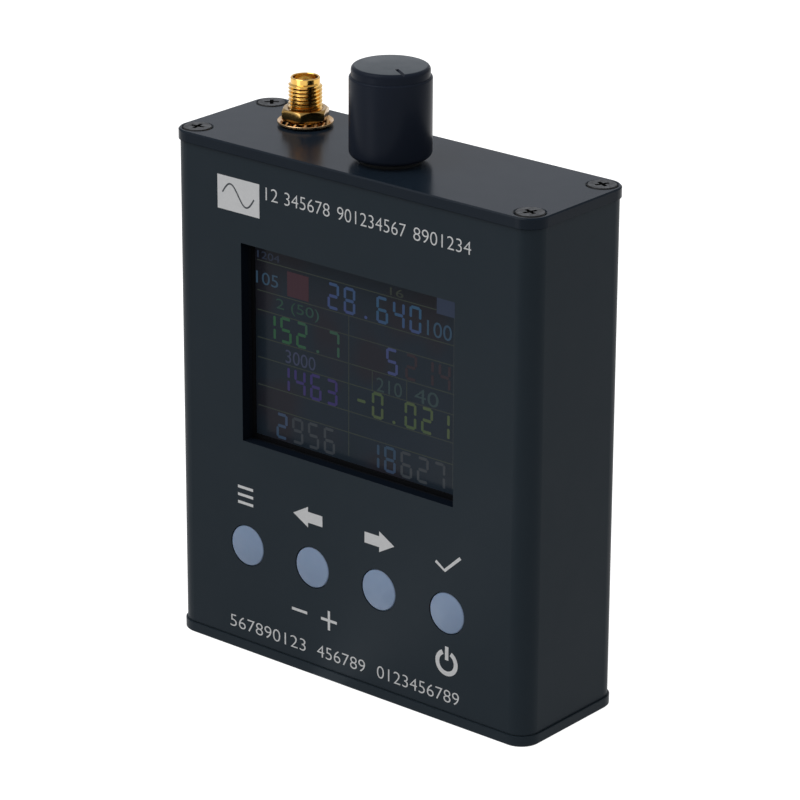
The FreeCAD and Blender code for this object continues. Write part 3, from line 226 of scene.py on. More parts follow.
def makeLitKnobFace():
    # The knob's faced end: finer than its side, with the lathe's rings, and brighter than the side by
    # painted light
    material, tree, shader, place = startMaterial("turnedKnobFaceLit", **{"Specular IOR Level": 0.06})
    # Painted light: the side's anodised finish in a lighter colour, for the face that looks up into the
    # light
    look = dict(anodisedLook, colour="#41474d", second="#494f54", roughness=(0.3, 0.36))
    surfaceDetail(tree, shader, place, look)
    middle = addNode(
        tree, "ShaderNodeVectorMath", {0: place, 1: (knobMiddle.x * mm, knobMiddle.y * mm, 0)},
        operation="SUBTRACT",
    ).outputs[0]
    # A wave texture turns 20 radians in one unit, and the rings lie 0.35 mm apart.
    ringScale = 2 * math.pi / (20 * 0.35 * mm)
    rings = addNode(
        tree, "ShaderNodeTexWave", {"Vector": middle, "Scale": ringScale, "Distortion": 0.3},
        wave_type="RINGS", rings_direction="Z",
    ).outputs["Fac"]
    relief = addNode(
        tree, "ShaderNodeBump", {"Height": rings, "Distance": 0.004 * mm, "Strength": 1.0},
    ).outputs["Normal"]
    connect(tree, shader, **{"Normal": relief})
    return material


def makeGlassWithPaintedReflection():
    # The display's front glass over its dark panel: a smoky blue-grey that is painted reflection of the
    # bright surroundings, here and there violet or ruddy
    material, tree, shader, place = startMaterial("displayGlassPaintedReflection", **{"Specular IOR Level": 0.05})
    # Painted reflection: the base colour holds the glass's brightness, and its own gloss is kept weak
    look = {
        "colour": "#232c33", "second": "#27303c", "blotch": 9.0, "smear": 6.0, "roughness": (0.16, 0.22),
        "grain": 2.0, "depth": 0.0004,
    }
    ground = surfaceDetail(tree, shader, place, look)
    # Below nought the glass stays blue-grey, so only the pattern's peaks are ruddy.
    ruddy = spread(tree, noise(tree, place, 13.0, 1.0), -1.2, 0.8)
    connect(tree, shader, **{"Base Color": blendColours(tree, ruddy, ground, linear("#2b2a31"))})
    return material


def makeFoam():
    # Closed-cell foam gasket: soft black with an open skin and a few specks of dust
    material, tree, shader, place = startMaterial("closedCellFoam", **{"Specular IOR Level": 0.1})
    look = {
        "colour": "#080c12", "second": "#0b1018", "blotch": 0.5, "smear": 0.6, "roughness": (0.8, 0.95),
        "grain": 0.25, "depth": 0.02,
    }
    ground = surfaceDetail(tree, shader, place, look)
    connect(tree, shader, **{"Base Color": addDust(tree, place, ground, "#7d838c", 2.6)})
    return material


# The display's pixels, and the two hues that each lit colour drifts between
pixelPitch = 0.153
glowColours = {
    "glowBlue": ("#2e4c66", "#3a436c"),
    "glowCyan": ("#33485a", "#2f4559"),
    "glowSlate": ("#29303f", "#2b3446"),
    "glowGreen": ("#2a5238", "#304c40"),
    "glowDeepGreen": ("#284038", "#2c4440"),
    "glowPurple": ("#38335a", "#332d60"),
    "glowViolet": ("#3a4168", "#3c456c"),
    "glowPale": ("#393e54", "#343c50"),
    "glowLime": ("#3f5038", "#46523a"),
    "glowTeal": ("#303e3f", "#303f42"),
    "glowGrey": ("#34393f", "#3a3f44"),
    "glowSteel": ("#36435a", "#2e4154"),
    "glowRed": ("#3c2830", "#40292f"),
    "glowDimRed": ("#30292f", "#2f282e"),
    "glowBlock": ("#2c3548", "#2e374a"),
    "glowOlive": ("#2f3534", "#313730"),
    "glowRule": ("#373e37", "#343a38"),
    "glowFaint": ("#30373a", "#2f3539"),
}


def makeGlow(name, first, second):
    # Lit panel: liquid-crystal colour that drifts from one hue to the next, broken up by its pixels
    material, tree, shader, place = startMaterial(
        name, **{"Base Color": linear("#0a0c0e"), "Specular IOR Level": 0.05, "Emission Strength": 0.76},
    )
    drift = spread(tree, noise(tree, place, 7.0, 1.0), 0.0, 1.0)
    hue = blendColours(tree, drift, linear(first), linear(second))
    pixels = addNode(
        tree, "ShaderNodeTexBrick",
        {"Vector": place, "Scale": 1 / (pixelPitch * mm), "Brick Width": 1.0, "Row Height": 1.0,
         "Mortar Size": 0.06, "Color1": (1, 1, 1, 1), "Color2": (0.94, 0.94, 0.94, 1),
         "Mortar": (0.8, 0.8, 0.8, 1)},
        offset=0.0,
    ).outputs["Color"]
    lit = addNode(tree, "ShaderNodeMix", data_type="RGBA", blend_type="MULTIPLY")
    lit.inputs[0].default_value = 1.0
    tree.links.new(hue, lit.inputs[6])
    tree.links.new(pixels, lit.inputs[7])
    gloss = spread(tree, noise(tree, place, 6.0, 3.0), 0.16, 0.22)
    connect(tree, shader, **{"Emission Color": lit.outputs[2], "Roughness": gloss})
    return material


# The plain finishes, by material slot or by the piece that wears them: two close colours, the sizes
# of the surface's pattern in millimetres, and what the shader has besides
finishes = {
    # Bottom plate: the case's own skin
    "bottom_edge": dict(anodisedLook, name="anodisedFoot", shader={"Specular IOR Level": 0.05}),
    # Top plate: the same metal, flatter and glossier, so it mirrors the fittings softly
    "plates": dict(
        anodisedLook, name="anodisedPlate", colour="#161f29", second="#1a232d",
        roughness=(0.21, 0.24), shader={"Specular IOR Level": 0.06},
    ),
    # Turned and anodised knob: smoother than the case, so its gleam is tighter
    "knob_anodised_aluminium": dict(
        anodisedLook, name="anodisedKnob", colour="#1d222d", second="#202631",
        roughness=(0.28, 0.31), shader={"Specular IOR Level": 0.04},
    ),
    # Black oxide on steel: a thin dark skin with a dull metal gleam
    "black_oxide_steel": {
        "name": "blackOxideSteel", "colour": "#1b1c1e", "second": "#242628", "blotch": 1.2, "smear": 0.8,
        "roughness": (0.35, 0.5), "grain": 0.15, "depth": 0.002, "shader": {"Metallic": 0.6},
    },
    # The same skin inside a recess, darker by painted shade, since little light gets in
    "recess_painted_shade": {
        "name": "oxideRecessShade", "colour": "#060708", "second": "#0a0b0c", "blotch": 0.8, "smear": 0.5,
        "roughness": (0.5, 0.65), "grain": 0.15, "depth": 0.002, "shader": {"Specular IOR Level": 0.1},
    },
    # Machined steel, bright with fine tool marks
    "plain_steel": {
        "name": "machinedSteel", "colour": "#b9babc", "second": "#a9abae", "blotch": 3.0, "smear": 1.0,
        "roughness": (0.25, 0.38), "grain": 0.1, "depth": 0.001, "shader": {"Metallic": 1.0},
    },
    # Tin plate on thin pressed steel: whiter and softer than bare steel
    "tinned_steel": {
        "name": "tinPlate", "colour": "#cfcfcb", "second": "#bfc0bd", "blotch": 2.5, "smear": 1.5,
        "roughness": (0.28, 0.42), "grain": 0.2, "depth": 0.001, "shader": {"Metallic": 1.0},
    },
    # Gold plate over turned brass: a deep warm yellow mirror with faint turning marks
    "gold_plated_brass": {
        "name": "goldPlate", "colour": "#e2b968", "second": "#d3a551", "blotch": 1.5, "smear": 0.7,
        "roughness": (0.12, 0.18), "grain": 0.3, "depth": 0.0006, "shader": {"Metallic": 1.0},
    },
    # Gold plate on the milled nut: browner, and a little uneven
    "nut_gold": {
        "name": "goldPlatedNut", "colour": "#ab8b54", "second": "#9a7a44", "blotch": 1.2, "smear": 0.5,
        "roughness": (0.14, 0.22), "grain": 0.3, "depth": 0.0008, "shader": {"Metallic": 1.0},
    },
    # Gold plate on the pressed washer: paler and softer than on turned parts
    "washer_gold": {
        "name": "goldPlatedWasher", "colour": "#dcb98c", "second": "#c9a578", "blotch": 1.0, "smear": 0.5,
        "roughness": (0.22, 0.3), "grain": 0.3, "depth": 0.0008, "shader": {"Metallic": 1.0},
    },
    # Bare machined brass: greener than gold, with clear tool marks
    "machined_brass": {
        "name": "machinedBrass", "colour": "#c9a45a", "second": "#b8924c", "blotch": 2.0, "smear": 0.8,
        "roughness": (0.22, 0.34), "grain": 0.12, "depth": 0.0015, "shader": {"Metallic": 1.0},
    },
    # Fluoropolymer dielectric: waxy white, faintly translucent
    "white_fluoropolymer": {
        "name": "fluoropolymer", "colour": "#e9e8e2", "second": "#deddd6", "blotch": 1.0, "smear": 0.8,
        "roughness": (0.4, 0.5), "grain": 0.15, "depth": 0.002,
        "shader": {"Subsurface Weight": 0.2, "Subsurface Scale": 0.0008},
    },
    # Moulded acetal of the button caps: pale grey-blue, satin, slightly uneven from the mould
    "pale_button_plastic": {
        "name": "buttonAcetal", "colour": "#7f93b0", "second": "#7a8eab", "blotch": 4.0, "smear": 1.5,
        "roughness": (0.42, 0.52), "grain": 0.15, "depth": 0.0025,
        "shader": {"Subsurface Weight": 0.1, "Subsurface Scale": 0.0005},
    },
    # Moulded nylon: dark and satin, with a fine grain from the mould
    "black_plastic": {
        "name": "mouldedBlackNylon", "colour": "#17181a", "second": "#1d1e20", "blotch": 2.0, "smear": 1.0,
        "roughness": (0.4, 0.55), "grain": 0.2, "depth": 0.003,
    },
    # The same nylon undyed: a warm ivory
    "ivory_plastic": {
        "name": "mouldedIvoryNylon", "colour": "#d8d0b8", "second": "#cec6ac", "blotch": 2.0, "smear": 1.0,
        "roughness": (0.4, 0.55), "grain": 0.2, "depth": 0.003,
    },
    # Filled epoxy of the chips: dark grey and matt
    "chip_epoxy": {
        "name": "chipEpoxy", "colour": "#222325", "second": "#2a2b2d", "blotch": 0.6, "smear": 0.4,
        "roughness": (0.5, 0.65), "grain": 0.1, "depth": 0.004,
    },
    # Opal acrylic of the backlight: white and even
    "backlight_plastic": {
        "name": "diffuserAcrylic", "colour": "#e6e9ec", "second": "#dde1e6", "blotch": 6.0, "smear": 3.0,
        "roughness": (0.45, 0.55), "grain": 0.3, "depth": 0.002,
    },
    # Polyimide film over copper: a clear amber gloss
    "amber_polyimide": {
        "name": "polyimideFilm", "colour": "#b0682a", "second": "#9a5620", "blotch": 2.0, "smear": 2.0,
        "roughness": (0.2, 0.3), "grain": 0.5, "depth": 0.002,
    },
    # Laminated foil round the battery cell: soft silver, lightly creased
    "cell_foil": {
        "name": "laminatedFoil", "colour": "#b4b7ba", "second": "#a4a8ac", "blotch": 8.0, "smear": 3.0,
        "roughness": (0.3, 0.45), "grain": 1.2, "depth": 0.02, "shader": {"Metallic": 0.9},
    },
    # Foam tape: off-white and dull, with open cells
    "adhesive_tape": {
        "name": "foamTape", "colour": "#dcdad2", "second": "#d0cec6", "blotch": 1.0, "smear": 1.0,
        "roughness": (0.7, 0.85), "grain": 0.3, "depth": 0.01,
    },
    # Silicone sleeving: strong red, smooth and slightly waxy
    "red_insulation": {
        "name": "redSiliconeSleeve", "colour": "#a01818", "second": "#8c1212", "blotch": 1.5, "smear": 1.0,
        "roughness": (0.4, 0.55), "grain": 0.2, "depth": 0.003,
    },
    # The same sleeving in black
    "black_insulation": {
        "name": "blackSiliconeSleeve", "colour": "#161616", "second": "#1e1e1e", "blotch": 1.5, "smear": 1.0,
        "roughness": (0.4, 0.55), "grain": 0.2, "depth": 0.003,
    },
    # Clear acrylic of the charge light: glossy, half see-through
    "clear_light_plastic": {
        "name": "lightLensAcrylic", "colour": "#dfe4df", "second": "#d4dad4", "blotch": 1.0, "smear": 0.8,
        "roughness": (0.1, 0.2), "grain": 0.3, "depth": 0.001,
        "shader": {"Transmission Weight": 0.5, "IOR": 1.49},
    },
    # Solder mask over glass fibre: a glossy green, faintly uneven from the weave
    "circuit_board": {
        "name": "solderMask", "colour": "#0f5a2c", "second": "#0c4f26", "blotch": 3.0, "smear": 2.0,
        "roughness": (0.25, 0.4), "grain": 0.4, "depth": 0.006,
    },
    # Blackened steel frame: a deep matt black that stays dark beside the glass
    "frame_black": {
        "name": "blackenedFrame", "colour": "#0c0d0f", "second": "#101114", "blotch": 1.5, "smear": 1.0,
        "roughness": (0.6, 0.75), "grain": 0.2, "depth": 0.003, "shader": {"Specular IOR Level": 0.05},
    },
    # Screen-printed ink, light grey, flat and slightly rough at its edges
    "print": {
        "name": "screenPrintInk", "colour": "#d9dadb", "second": "#cfd0d2", "blotch": 0.6, "smear": 0.4,
        "roughness": (0.55, 0.7), "grain": 0.08, "depth": 0.003,
    },
    # The same ink in dark grey, for the sign in the pale box
    "print_dark": {
        "name": "darkPrintInk", "colour": "#2a2f36", "second": "#30353c", "blotch": 0.6, "smear": 0.4,
        "roughness": (0.55, 0.7), "grain": 0.08, "depth": 0.003,
    },
}


def makeMaterials():
    made = {
        "black_anodised_aluminium": makeSleeveFinish(), "knob_face_lit": makeLitKnobFace(),
        "cover_glass": makeGlassWithPaintedReflection(), "black_foam": makeFoam(),
    }
    for slot, finish in finishes.items():
        made[slot] = plainMaterial(finish["name"], finish, **finish.get("shader", {}))
    for name, (first, second) in glowColours.items():
        made[name] = makeGlow(name, first, second)
    return made


materials = makeMaterials()
# Solids whose finish isn't the one that their slot names
ownFinish = {
    "top_plate": "plates", "bottom_plate": "bottom_edge", "display_frame": "frame_black",
    "encoder_nut": "black_oxide_steel", "encoder_washer": "black_oxide_steel",
}


def dressNodes():
    slotOf = {part["node"]: part["material_slot"] for part in frame["record"]["subparts"]}
    for name, node in cadNodes.items():
        material = materials[ownFinish.get(name, slotOf[name])]
        node.data.materials.clear()
        node.data.materials.append(material)


dressNodes()
print("materials made:", len(materials))


# Modelling helpers

def corners(name):
    # A solid's lowest and highest corner, in millimetres
    low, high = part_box(name)
    return Vector(low) / mm, Vector(high) / mm


def middleOf(name):
    low, high = corners(name)
    return (low + high) / 2


def activate(piece):
    bpy.ops.object.select_all(action="DESELECT")
    piece.select_set(True)
    bpy.context.view_layer.objects.active = piece


def startPiece(name, add, middle, **options):
    # Adds a primitive at its place and puts that place into its mesh
    bpy.ops.object.select_all(action="DESELECT")
    add(location=Vector(middle) * mm, **options)
    piece = bpy.context.object
    piece.name = name
    bpy.ops.object.transform_apply(location=True, rotation=True, scale=True)
    return piece


def pick(piece, kind, wanted):
    # In edit mode, selects the vertices, edges or faces that are wanted
    bpy.ops.mesh.select_mode(type=kind)
    bpy.ops.mesh.select_all(action="DESELECT")
    mesh = bmesh.from_edit_mesh(piece.data)
    items = {"VERT": mesh.verts, "EDGE": mesh.edges, "FACE": mesh.faces}[kind]
    for item in items:
        if wanted(item):
            item.select_set(True)
    bmesh.update_edit_mesh(piece.data)


def tidyMesh(piece):
    activate(piece)
    bpy.ops.object.mode_set(mode="EDIT")
    bpy.ops.mesh.select_all(action="SELECT")
    bpy.ops.mesh.remove_doubles(threshold=0.0005 * mm)
    bpy.ops.mesh.fill_holes(sides=0)
    bpy.ops.mesh.normals_make_consistent(inside=False)
    bpy.ops.object.mode_set(mode="OBJECT")


def turn(name, middle, outline, sides=96):
    # Draws a ring out and resizes it along an outline of (radius, height)
    centre = Vector(middle)
    radius, height = outline[0]
    piece = startPiece(
        name, bpy.ops.mesh.primitive_circle_add, centre + Vector((0, 0, height)),
        vertices=sides, radius=radius * mm,
    )
    bpy.ops.object.mode_set(mode="EDIT")
    bpy.ops.mesh.select_mode(type="VERT")
    bpy.ops.mesh.select_all(action="SELECT")
    for nextRadius, nextHeight in outline[1:]:
        rise = (0, 0, (nextHeight - height) * mm)
        bpy.ops.mesh.extrude_region_move(TRANSFORM_OT_translate={"value": rise})
        growth = nextRadius / radius
        bpy.ops.transform.resize(value=(growth, growth, 1), center_override=centre * mm)
        radius, height = nextRadius, nextHeight
    bpy.ops.object.mode_set(mode="OBJECT")
    tidyMesh(piece)
    return piece


def arc(middle, radius, first, last, steps):
    # A round in an outline: 0 degrees points outward and 90 up
    angles = [math.radians(first + (last - first) * step / steps) for step in range(steps + 1)]
    return [(middle[0] + radius * math.cos(a), middle[1] + radius * math.sin(a)) for a in angles]


def block(name, low, high, edge=0.1):
    # A bar between two corners, its edges eased
    low, high = Vector(low), Vector(high)
    piece = startPiece(
        name, bpy.ops.mesh.primitive_cube_add, (low + high) / 2, size=mm, scale=high - low,
    )
    modify(piece, "BEVEL", width=edge * mm, segments=2)
    return piece


def modify(piece, kind, **settings):
    activate(piece)
    modifier = piece.modifiers.new(kind.lower(), kind)
    for name, setting in settings.items():
        setattr(modifier, name, setting)
    bpy.ops.object.modifier_apply(modifier=modifier.name)


def cutWith(piece, tool, operation="DIFFERENCE"):
    modify(piece, "BOOLEAN", object=tool, operation=operation, solver="EXACT")
    bpy.data.objects.remove(tool)


def turnPiece(piece, angle, axis, centre=(0, 0, 0)):
    # Turns a piece's mesh about a line through a point in millimetres
    activate(piece)
    piece.rotation_mode = "QUATERNION"
    turned = Quaternion(axis, math.radians(angle))
    piece.rotation_quaternion = turned
    middle = Vector(centre) * mm
    piece.location = middle - turned @ middle
    bpy.ops.object.transform_apply(location=True, rotation=True, scale=True)


def copyPiece(piece, shift=(0, 0, 0)):
    activate(piece)
    bpy.ops.object.duplicate(linked=False)
    twin = bpy.context.object
    twin.location = Vector(shift) * mm
    bpy.ops.object.transform_apply(location=True, rotation=True, scale=True)
    return twin


def joinPieces(pieces):
    bpy.ops.object.select_all(action="DESELECT")
    for piece in pieces:
        piece.select_set(True)
    bpy.context.view_layer.objects.active = pieces[0]
    bpy.ops.object.join()
    return pieces[0]


def finishPiece(piece, material, body, replaced=(), smooth=30):
    activate(piece)
    bpy.ops.object.shade_smooth_by_angle(angle=math.radians(smooth))
    if material:
        piece.data.materials.clear()
        piece.data.materials.append(materials[material])
    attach(piece, body)
    if replaced:
        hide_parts(*replaced)
    return piece


# Knob: turned aluminium cap with a stepped neck and a pointer groove

knobShape = {
    "radius": 7.52, "height": 16.92, "footInset": 1.35, "footDrop": 1.0, "shoulder": 0.37,
    "neckHeight": 1.9, "topRound": 0.8, "skirtRadius": 6.0, "skirtDepth": 3.4, "roofRadius": 5.03,
    "grooveAngle": -31.0, "grooveStart": 3.2, "grooveSide": 0.5,
}


def makeKnob():
    shape = knobShape
    middle = middleOf("knob")
    middle.z = corners("knob")[0].z
    inset, drop, radius = shape["footInset"], shape["footDrop"], shape["radius"]
    footRadius = (inset ** 2 + drop ** 2) / (2 * drop)
    footEnd = -math.degrees(math.acos(inset / footRadius))
    neck = radius - shape["shoulder"]
    neckFoot = shape["height"] - shape["neckHeight"]
    top, edge = shape["height"], shape["topRound"]
    outline = [(shape["roofRadius"], shape["skirtDepth"]), (shape["skirtRadius"], shape["skirtDepth"])]
    outline += [(shape["skirtRadius"], 0)]
    outline += arc((radius - inset, footRadius), footRadius, -90, footEnd, 8)
    outline += arc((neck, neckFoot - shape["shoulder"]), shape["shoulder"], 0, 90, 6)
    outline += arc((neck - edge, top - edge), edge, 0, 90, 6)
    knob = turn("knobCap", middle, outline, sides=128)

    # The pointer is a V groove, cut by a square bar that lies on one edge.
    side = shape["grooveSide"]
    tool = startPiece(
        "grooveTool", bpy.ops.mesh.primitive_cube_add, middle + Vector((radius, 0, top)), size=mm,
        scale=(2 * (radius - shape["grooveStart"]), side, side), rotation=(math.radians(45), 0, 0),
    )
    turnPiece(tool, shape["grooveAngle"], (0, 0, 1), middle)
    cutWith(knob, tool)
    finishPiece(knob, "knob_anodised_aluminium", "knob_turn", ["knob"])
    # The faced end wears the lighter copy of the finish, which is painted light.
    knob.data.materials.append(materials["knob_face_lit"])
    for face in knob.data.polygons:
        if face.normal.z > 0.97 and face.center.z / mm > middle.z + top - 0.1:
            face.material_index = 1


# Threaded connector: turned body with a screwed thread, its nut and its toothed lock washer

jackShape = {
    "crest": 3.15, "root": 2.75, "pitch": 0.7056, "bore": 2.05, "mouth": 2.32, "mouthDepth": 1.9,
    "rim": 0.12, "nose": 0.8, "flangeSide": 6.35, "flangeThickness": 2.0, "legWidth": 1.0,
    "legGap": 0.1, "legThickness": 0.9,
}
nutShape = {
    "flats": 8.0, "thickness": 2.0, "bore": 3.17, "angle": -60.7, "top": 0.5, "foot": 0.35,
    "ease": 0.22, "bevel": 0.04,
}
lockWasherShape = {
    "radius": 5.2, "band": 0.85, "thickness": 0.4, "dish": 0.42, "ease": 0.06, "teeth": 14,
    "toothWidth": 1.1, "toothThickness": 0.36, "toothTwist": 48.0, "toothInner": 3.4, "toothRoot": 0.1,
    "toothLevel": 0.62,
}


def makeJack():
    shape = jackShape
    low, high = corners("rf_jack")
    middle = (low + high) / 2
    middle.z = corners("top_plate")[0].z
    top = high.z - middle.z
    rim, root = shape["rim"], shape["root"]
    outline = [
        (shape["bore"], 0),
        (shape["bore"], top - shape["mouthDepth"]),
        (shape["mouth"], top - shape["mouthDepth"]),
        (shape["mouth"], top - rim),
        (shape["mouth"] + rim, top),
        (root - rim, top),
        (root, top - rim),
        (root, 0),
        (shape["bore"], 0),
    ]
    body = turn("connectorBody", middle, outline)

    # The thread is one tooth's flanks, carried round and up by its pitch on every turn.
    pitch, depth = shape["pitch"], shape["crest"] - root
    turns = int((top - shape["nose"]) / pitch) - 1
    start = top - shape["nose"] - (turns + 1) * pitch
    thread = startPiece(
        "connectorThread", bpy.ops.mesh.primitive_plane_add, middle + Vector((root, 0, start)), size=mm,
    )
    bpy.ops.object.mode_set(mode="EDIT")
    bpy.ops.mesh.select_all(action="SELECT")
    bpy.ops.mesh.merge(type="CENTER")
    for outward, share in ((0, 1 / 8), (depth, 5 / 16), (0, 1 / 8), (-depth, 5 / 16), (0, 1 / 8)):
        bpy.ops.mesh.extrude_region_move(
            TRANSFORM_OT_translate={"value": (outward * mm, 0, share * pitch * mm)}
        )
    bpy.ops.object.mode_set(mode="OBJECT")
    bpy.ops.object.empty_add(location=middle * mm)
    axis = bpy.context.object
    modify(
        thread, "SCREW", object=axis, screw_offset=pitch * mm, steps=72, render_steps=72,
        iterations=turns, use_merge_vertices=True, merge_threshold=0.001 * mm,
    )
    bpy.data.objects.remove(axis)

    # Flange and solder legs, inside the case
    half, legWidth = shape["flangeSide"] / 2, shape["legWidth"]
    flangeLow = middle.z - shape["flangeThickness"]
    flange = block(
        "connectorFlange", (middle.x - half, middle.y - half, flangeLow),
        (middle.x + half, middle.y + half, middle.z),
    )
    gap, thickness = shape["legGap"], shape["legThickness"]
    frontRow, backRow = corners("main_board")[0].y - gap, corners("main_board")[1].y + gap
    legs = []
    for near, far in ((frontRow - thickness, frontRow), (backRow, backRow + thickness)):
        for left in (middle.x - half, middle.x + half - legWidth):
            legs.append(block("connectorLeg", (left, near, low.z), (left + legWidth, far, flangeLow)))
    jack = joinPieces([body, thread, flange] + legs)
    finishPiece(jack, "gold_plated_brass", "housing", ["rf_jack"], smooth=40)


def makeNut():
    shape = nutShape
    low, high = corners("rf_nut")
    middle = (low + high) / 2
    flats, thickness, ease = shape["flats"], shape["thickness"], shape["ease"]
    corner = flats / 2 / math.cos(math.radians(30))
    nut = startPiece(
        "connectorNut", bpy.ops.mesh.primitive_cylinder_add, middle, vertices=6,
        radius=corner * mm, depth=thickness * mm, rotation=(0, 0, math.radians(shape["angle"] + 90)),
    )
    # Both faces are bevelled round the corners by a turned double cone.
    inner, reach = flats / 2 - ease / 10, 2 * corner - flats / 2
    bore = shape["bore"]
    outline = [
        (bore, ease),
        (bore + ease, 0),
        (inner, 0),
        (reach, 2 * shape["foot"]),
        (reach, thickness - 2 * shape["top"]),
        (inner, thickness),
        (bore + ease, thickness),
        (bore, thickness - ease),
        (bore, ease),
    ]
    cone = turn("nutTool", (middle.x, middle.y, low.z), outline, sides=144)
    cutWith(nut, cone, "INTERSECT")
    modify(
        nut, "BEVEL", width=shape["bevel"] * mm, segments=2,
        limit_method="ANGLE", angle_limit=math.radians(25),
    )
    finishPiece(nut, "nut_gold", "housing", ["rf_nut"], smooth=25)


def makeLockWasher():
    shape = lockWasherShape
    low, high = corners("rf_lock_washer")
    middle = (low + high) / 2
    middle.z = low.z
    radius, thickness, dish = shape["radius"], shape["thickness"], shape["dish"]
    inner, ease = radius - shape["band"], shape["ease"]
    outline = [
        (inner, 0),
        (radius - ease, dish),
        (radius, dish + ease),
        (radius, dish + thickness - ease),
        (radius - ease, dish + thickness),
        (inner, thickness),
        (inner, 0),
    ]
    ring = turn("lockWasherRing", middle, outline)
    # One twisted tooth, copied round the inside of the ring
    width, toothInner, root = shape["toothWidth"], shape["toothInner"], inner + shape["toothRoot"]
    half, level = shape["toothThickness"] / 2, middle.z + shape["toothLevel"]
    tooth = block(
        "lockWasherTooth", (middle.x + toothInner, middle.y - width / 2, level - half),
        (middle.x + root, middle.y + width / 2, level + half), edge=0.06,
    )
    turnPiece(tooth, shape["toothTwist"], (1, 0, 0), (middle.x, middle.y, level))
    teeth = [tooth]
    for step in range(1, shape["teeth"]):
        twin = copyPiece(tooth)
        turnPiece(twin, 360 * step / shape["teeth"], (0, 0, 1), middle)
        teeth.append(twin)
    washer = joinPieces([ring] + teeth)
    washer.name = "lockWasher"
    finishPiece(washer, "washer_gold", "housing", ["rf_lock_washer"])


makeKnob()
makeJack()
makeNut()
makeLockWasher()
print("knob and connector made")


# Countersunk screws with a cross recess, four in each plate

screwShape = {
    "inset": 2.8, "proud": 0.25,
    "head": 2.72, "rim": 0.32, "ease": 0.16, "shank": 1.45, "length": 8.0, "point": 0.4,
    "recess": 3.7, "slot": 0.95, "depth": 1.2, "taper": 0.5, "turns": (12.0, 40.0, -20.0, 65.0),
}


def makeScrew():
    # One screw on the origin, its head's face at height 0
    shape = screwShape
    head, rim, ease, shank = shape["head"], shape["rim"], shape["ease"], shape["shank"]
    outline = [
        (shank - shape["point"], -shape["length"]),
        (shank, shape["point"] - shape["length"]),
        (shank, shank - head - rim),
        (head, -rim),
        (head - ease, 0),
    ]
    screw = turn("plateScrew", (0, 0, 0), outline, sides=64)
    span, slot, depth = shape["recess"] / 2, shape["slot"] / 2, shape["depth"]
    for quarter in (0, 90):
        arm = startPiece(
            "recessTool", bpy.ops.mesh.primitive_cube_add, (0, 0, 0), size=mm,
            scale=(2 * span, 2 * slot, 2 * depth),
        )
        bpy.ops.object.mode_set(mode="EDIT")
        pick(arm, "FACE", lambda face: face.normal.z < -0.9)
        bpy.ops.transform.resize(value=(shape["taper"],) * 2 + (1,), center_override=(0, 0, 0))
        bpy.ops.object.mode_set(mode="OBJECT")
        turnPiece(arm, quarter, (0, 0, 1))
        cutWith(screw, arm)
    # The recess gets painted shade, darker than the head, since little light gets in.
    for name in ("black_oxide_steel", "recess_painted_shade"):
        screw.data.materials.append(materials[name])
    for face in screw.data.polygons:
        place = face.center / mm
        if -depth - 0.1 < place.z < -0.02 and place.xy.length < span and face.normal.z > -0.5:
            face.material_index = 1
    return screw


def makePlateScrews():
    first = makeScrew()
    for node, up in (("top_plate_screws", 1), ("bottom_plate_screws", -1)):
        low, high = corners(node)
        level = high.z + screwShape["proud"] if up > 0 else low.z
        # The solids are as wide as the four heads, so their corners give the screws' places.
        inset = screwShape["inset"]
        columns, rows = (low.x + inset, high.x - inset), (low.y + inset, high.y - inset)
        spots = [(x, y) for x in columns for y in rows]
        screws = []
        for angle, (x, y) in zip(screwShape["turns"], spots):
            screw = copyPiece(first)
            turnPiece(screw, angle, (0, 0, 1))
            if up < 0:
                turnPiece(screw, 180, (1, 0, 0))
            screws.append(copyPiece(screw, (x, y, level)))
            bpy.data.objects.remove(screw)
        joined = joinPieces(screws)
        joined.name = "topScrews" if up > 0 else "bottomScrews"
        finishPiece(joined, None, "housing", [node])
    bpy.data.objects.remove(first)


# Button caps: a low dome with a soft edge, on a flange behind the case wall

capShape = {
    "radius": 4.0, "dome": 0.3, "edge": 0.35, "flange": 1.0, "flangeThickness": 0.8, "stem": 1.8,
    "seatGap": 0.05, "wall": 2.0,
}


def makeButtonCaps():
    shape = capShape
    low, high = corners("button_cap_menu")
    radius, edge, dome = shape["radius"], shape["edge"], shape["dome"]
    face = corners("case_sleeve")[0].y - high.y
    flangeFront = face + shape["wall"] + shape["seatGap"]
    flangeBack = flangeFront + shape["flangeThickness"]
    # The outline is drawn upwards from the stem's end, and the dome's round ends near the middle.
    outline = [
        (shape["stem"], 0),
        (shape["stem"], -flangeBack),
        (radius + shape["flange"], -flangeBack),
        (radius + shape["flange"], -flangeFront),
        (radius, -flangeFront),
    ]
    outline += arc((radius - edge, -face - edge), edge, 0, 90, 6)
    chord = radius - edge
    domeRadius = (chord ** 2 + dome ** 2) / (2 * dome)
    rimAngle = math.degrees(math.acos(chord / domeRadius))
    outline += arc((0, -face + dome - domeRadius), domeRadius, rimAngle, 89.9, 10)[1:]
    cap = turn("buttonCap", (0, 0, 0), outline)
    turnPiece(cap, 90, (1, 0, 0))
    for name in ("menu", "left", "right", "confirm"):
        node = f"button_cap_{name}"
        middle = middleOf(node)
        twin = copyPiece(cap, (middle.x, high.y, middle.z))
        twin.name = f"cap{name.capitalize()}"
        plastic = "pale_button_plastic"
        finishPiece(twin, plastic, f"button_{name}", [node], smooth=35)
    bpy.data.objects.remove(cap)


makePlateScrews()
makeButtonCaps()
print("screws and buttons made")


# Flat figures on the front: cut out of a thin film, from points of (x, z)

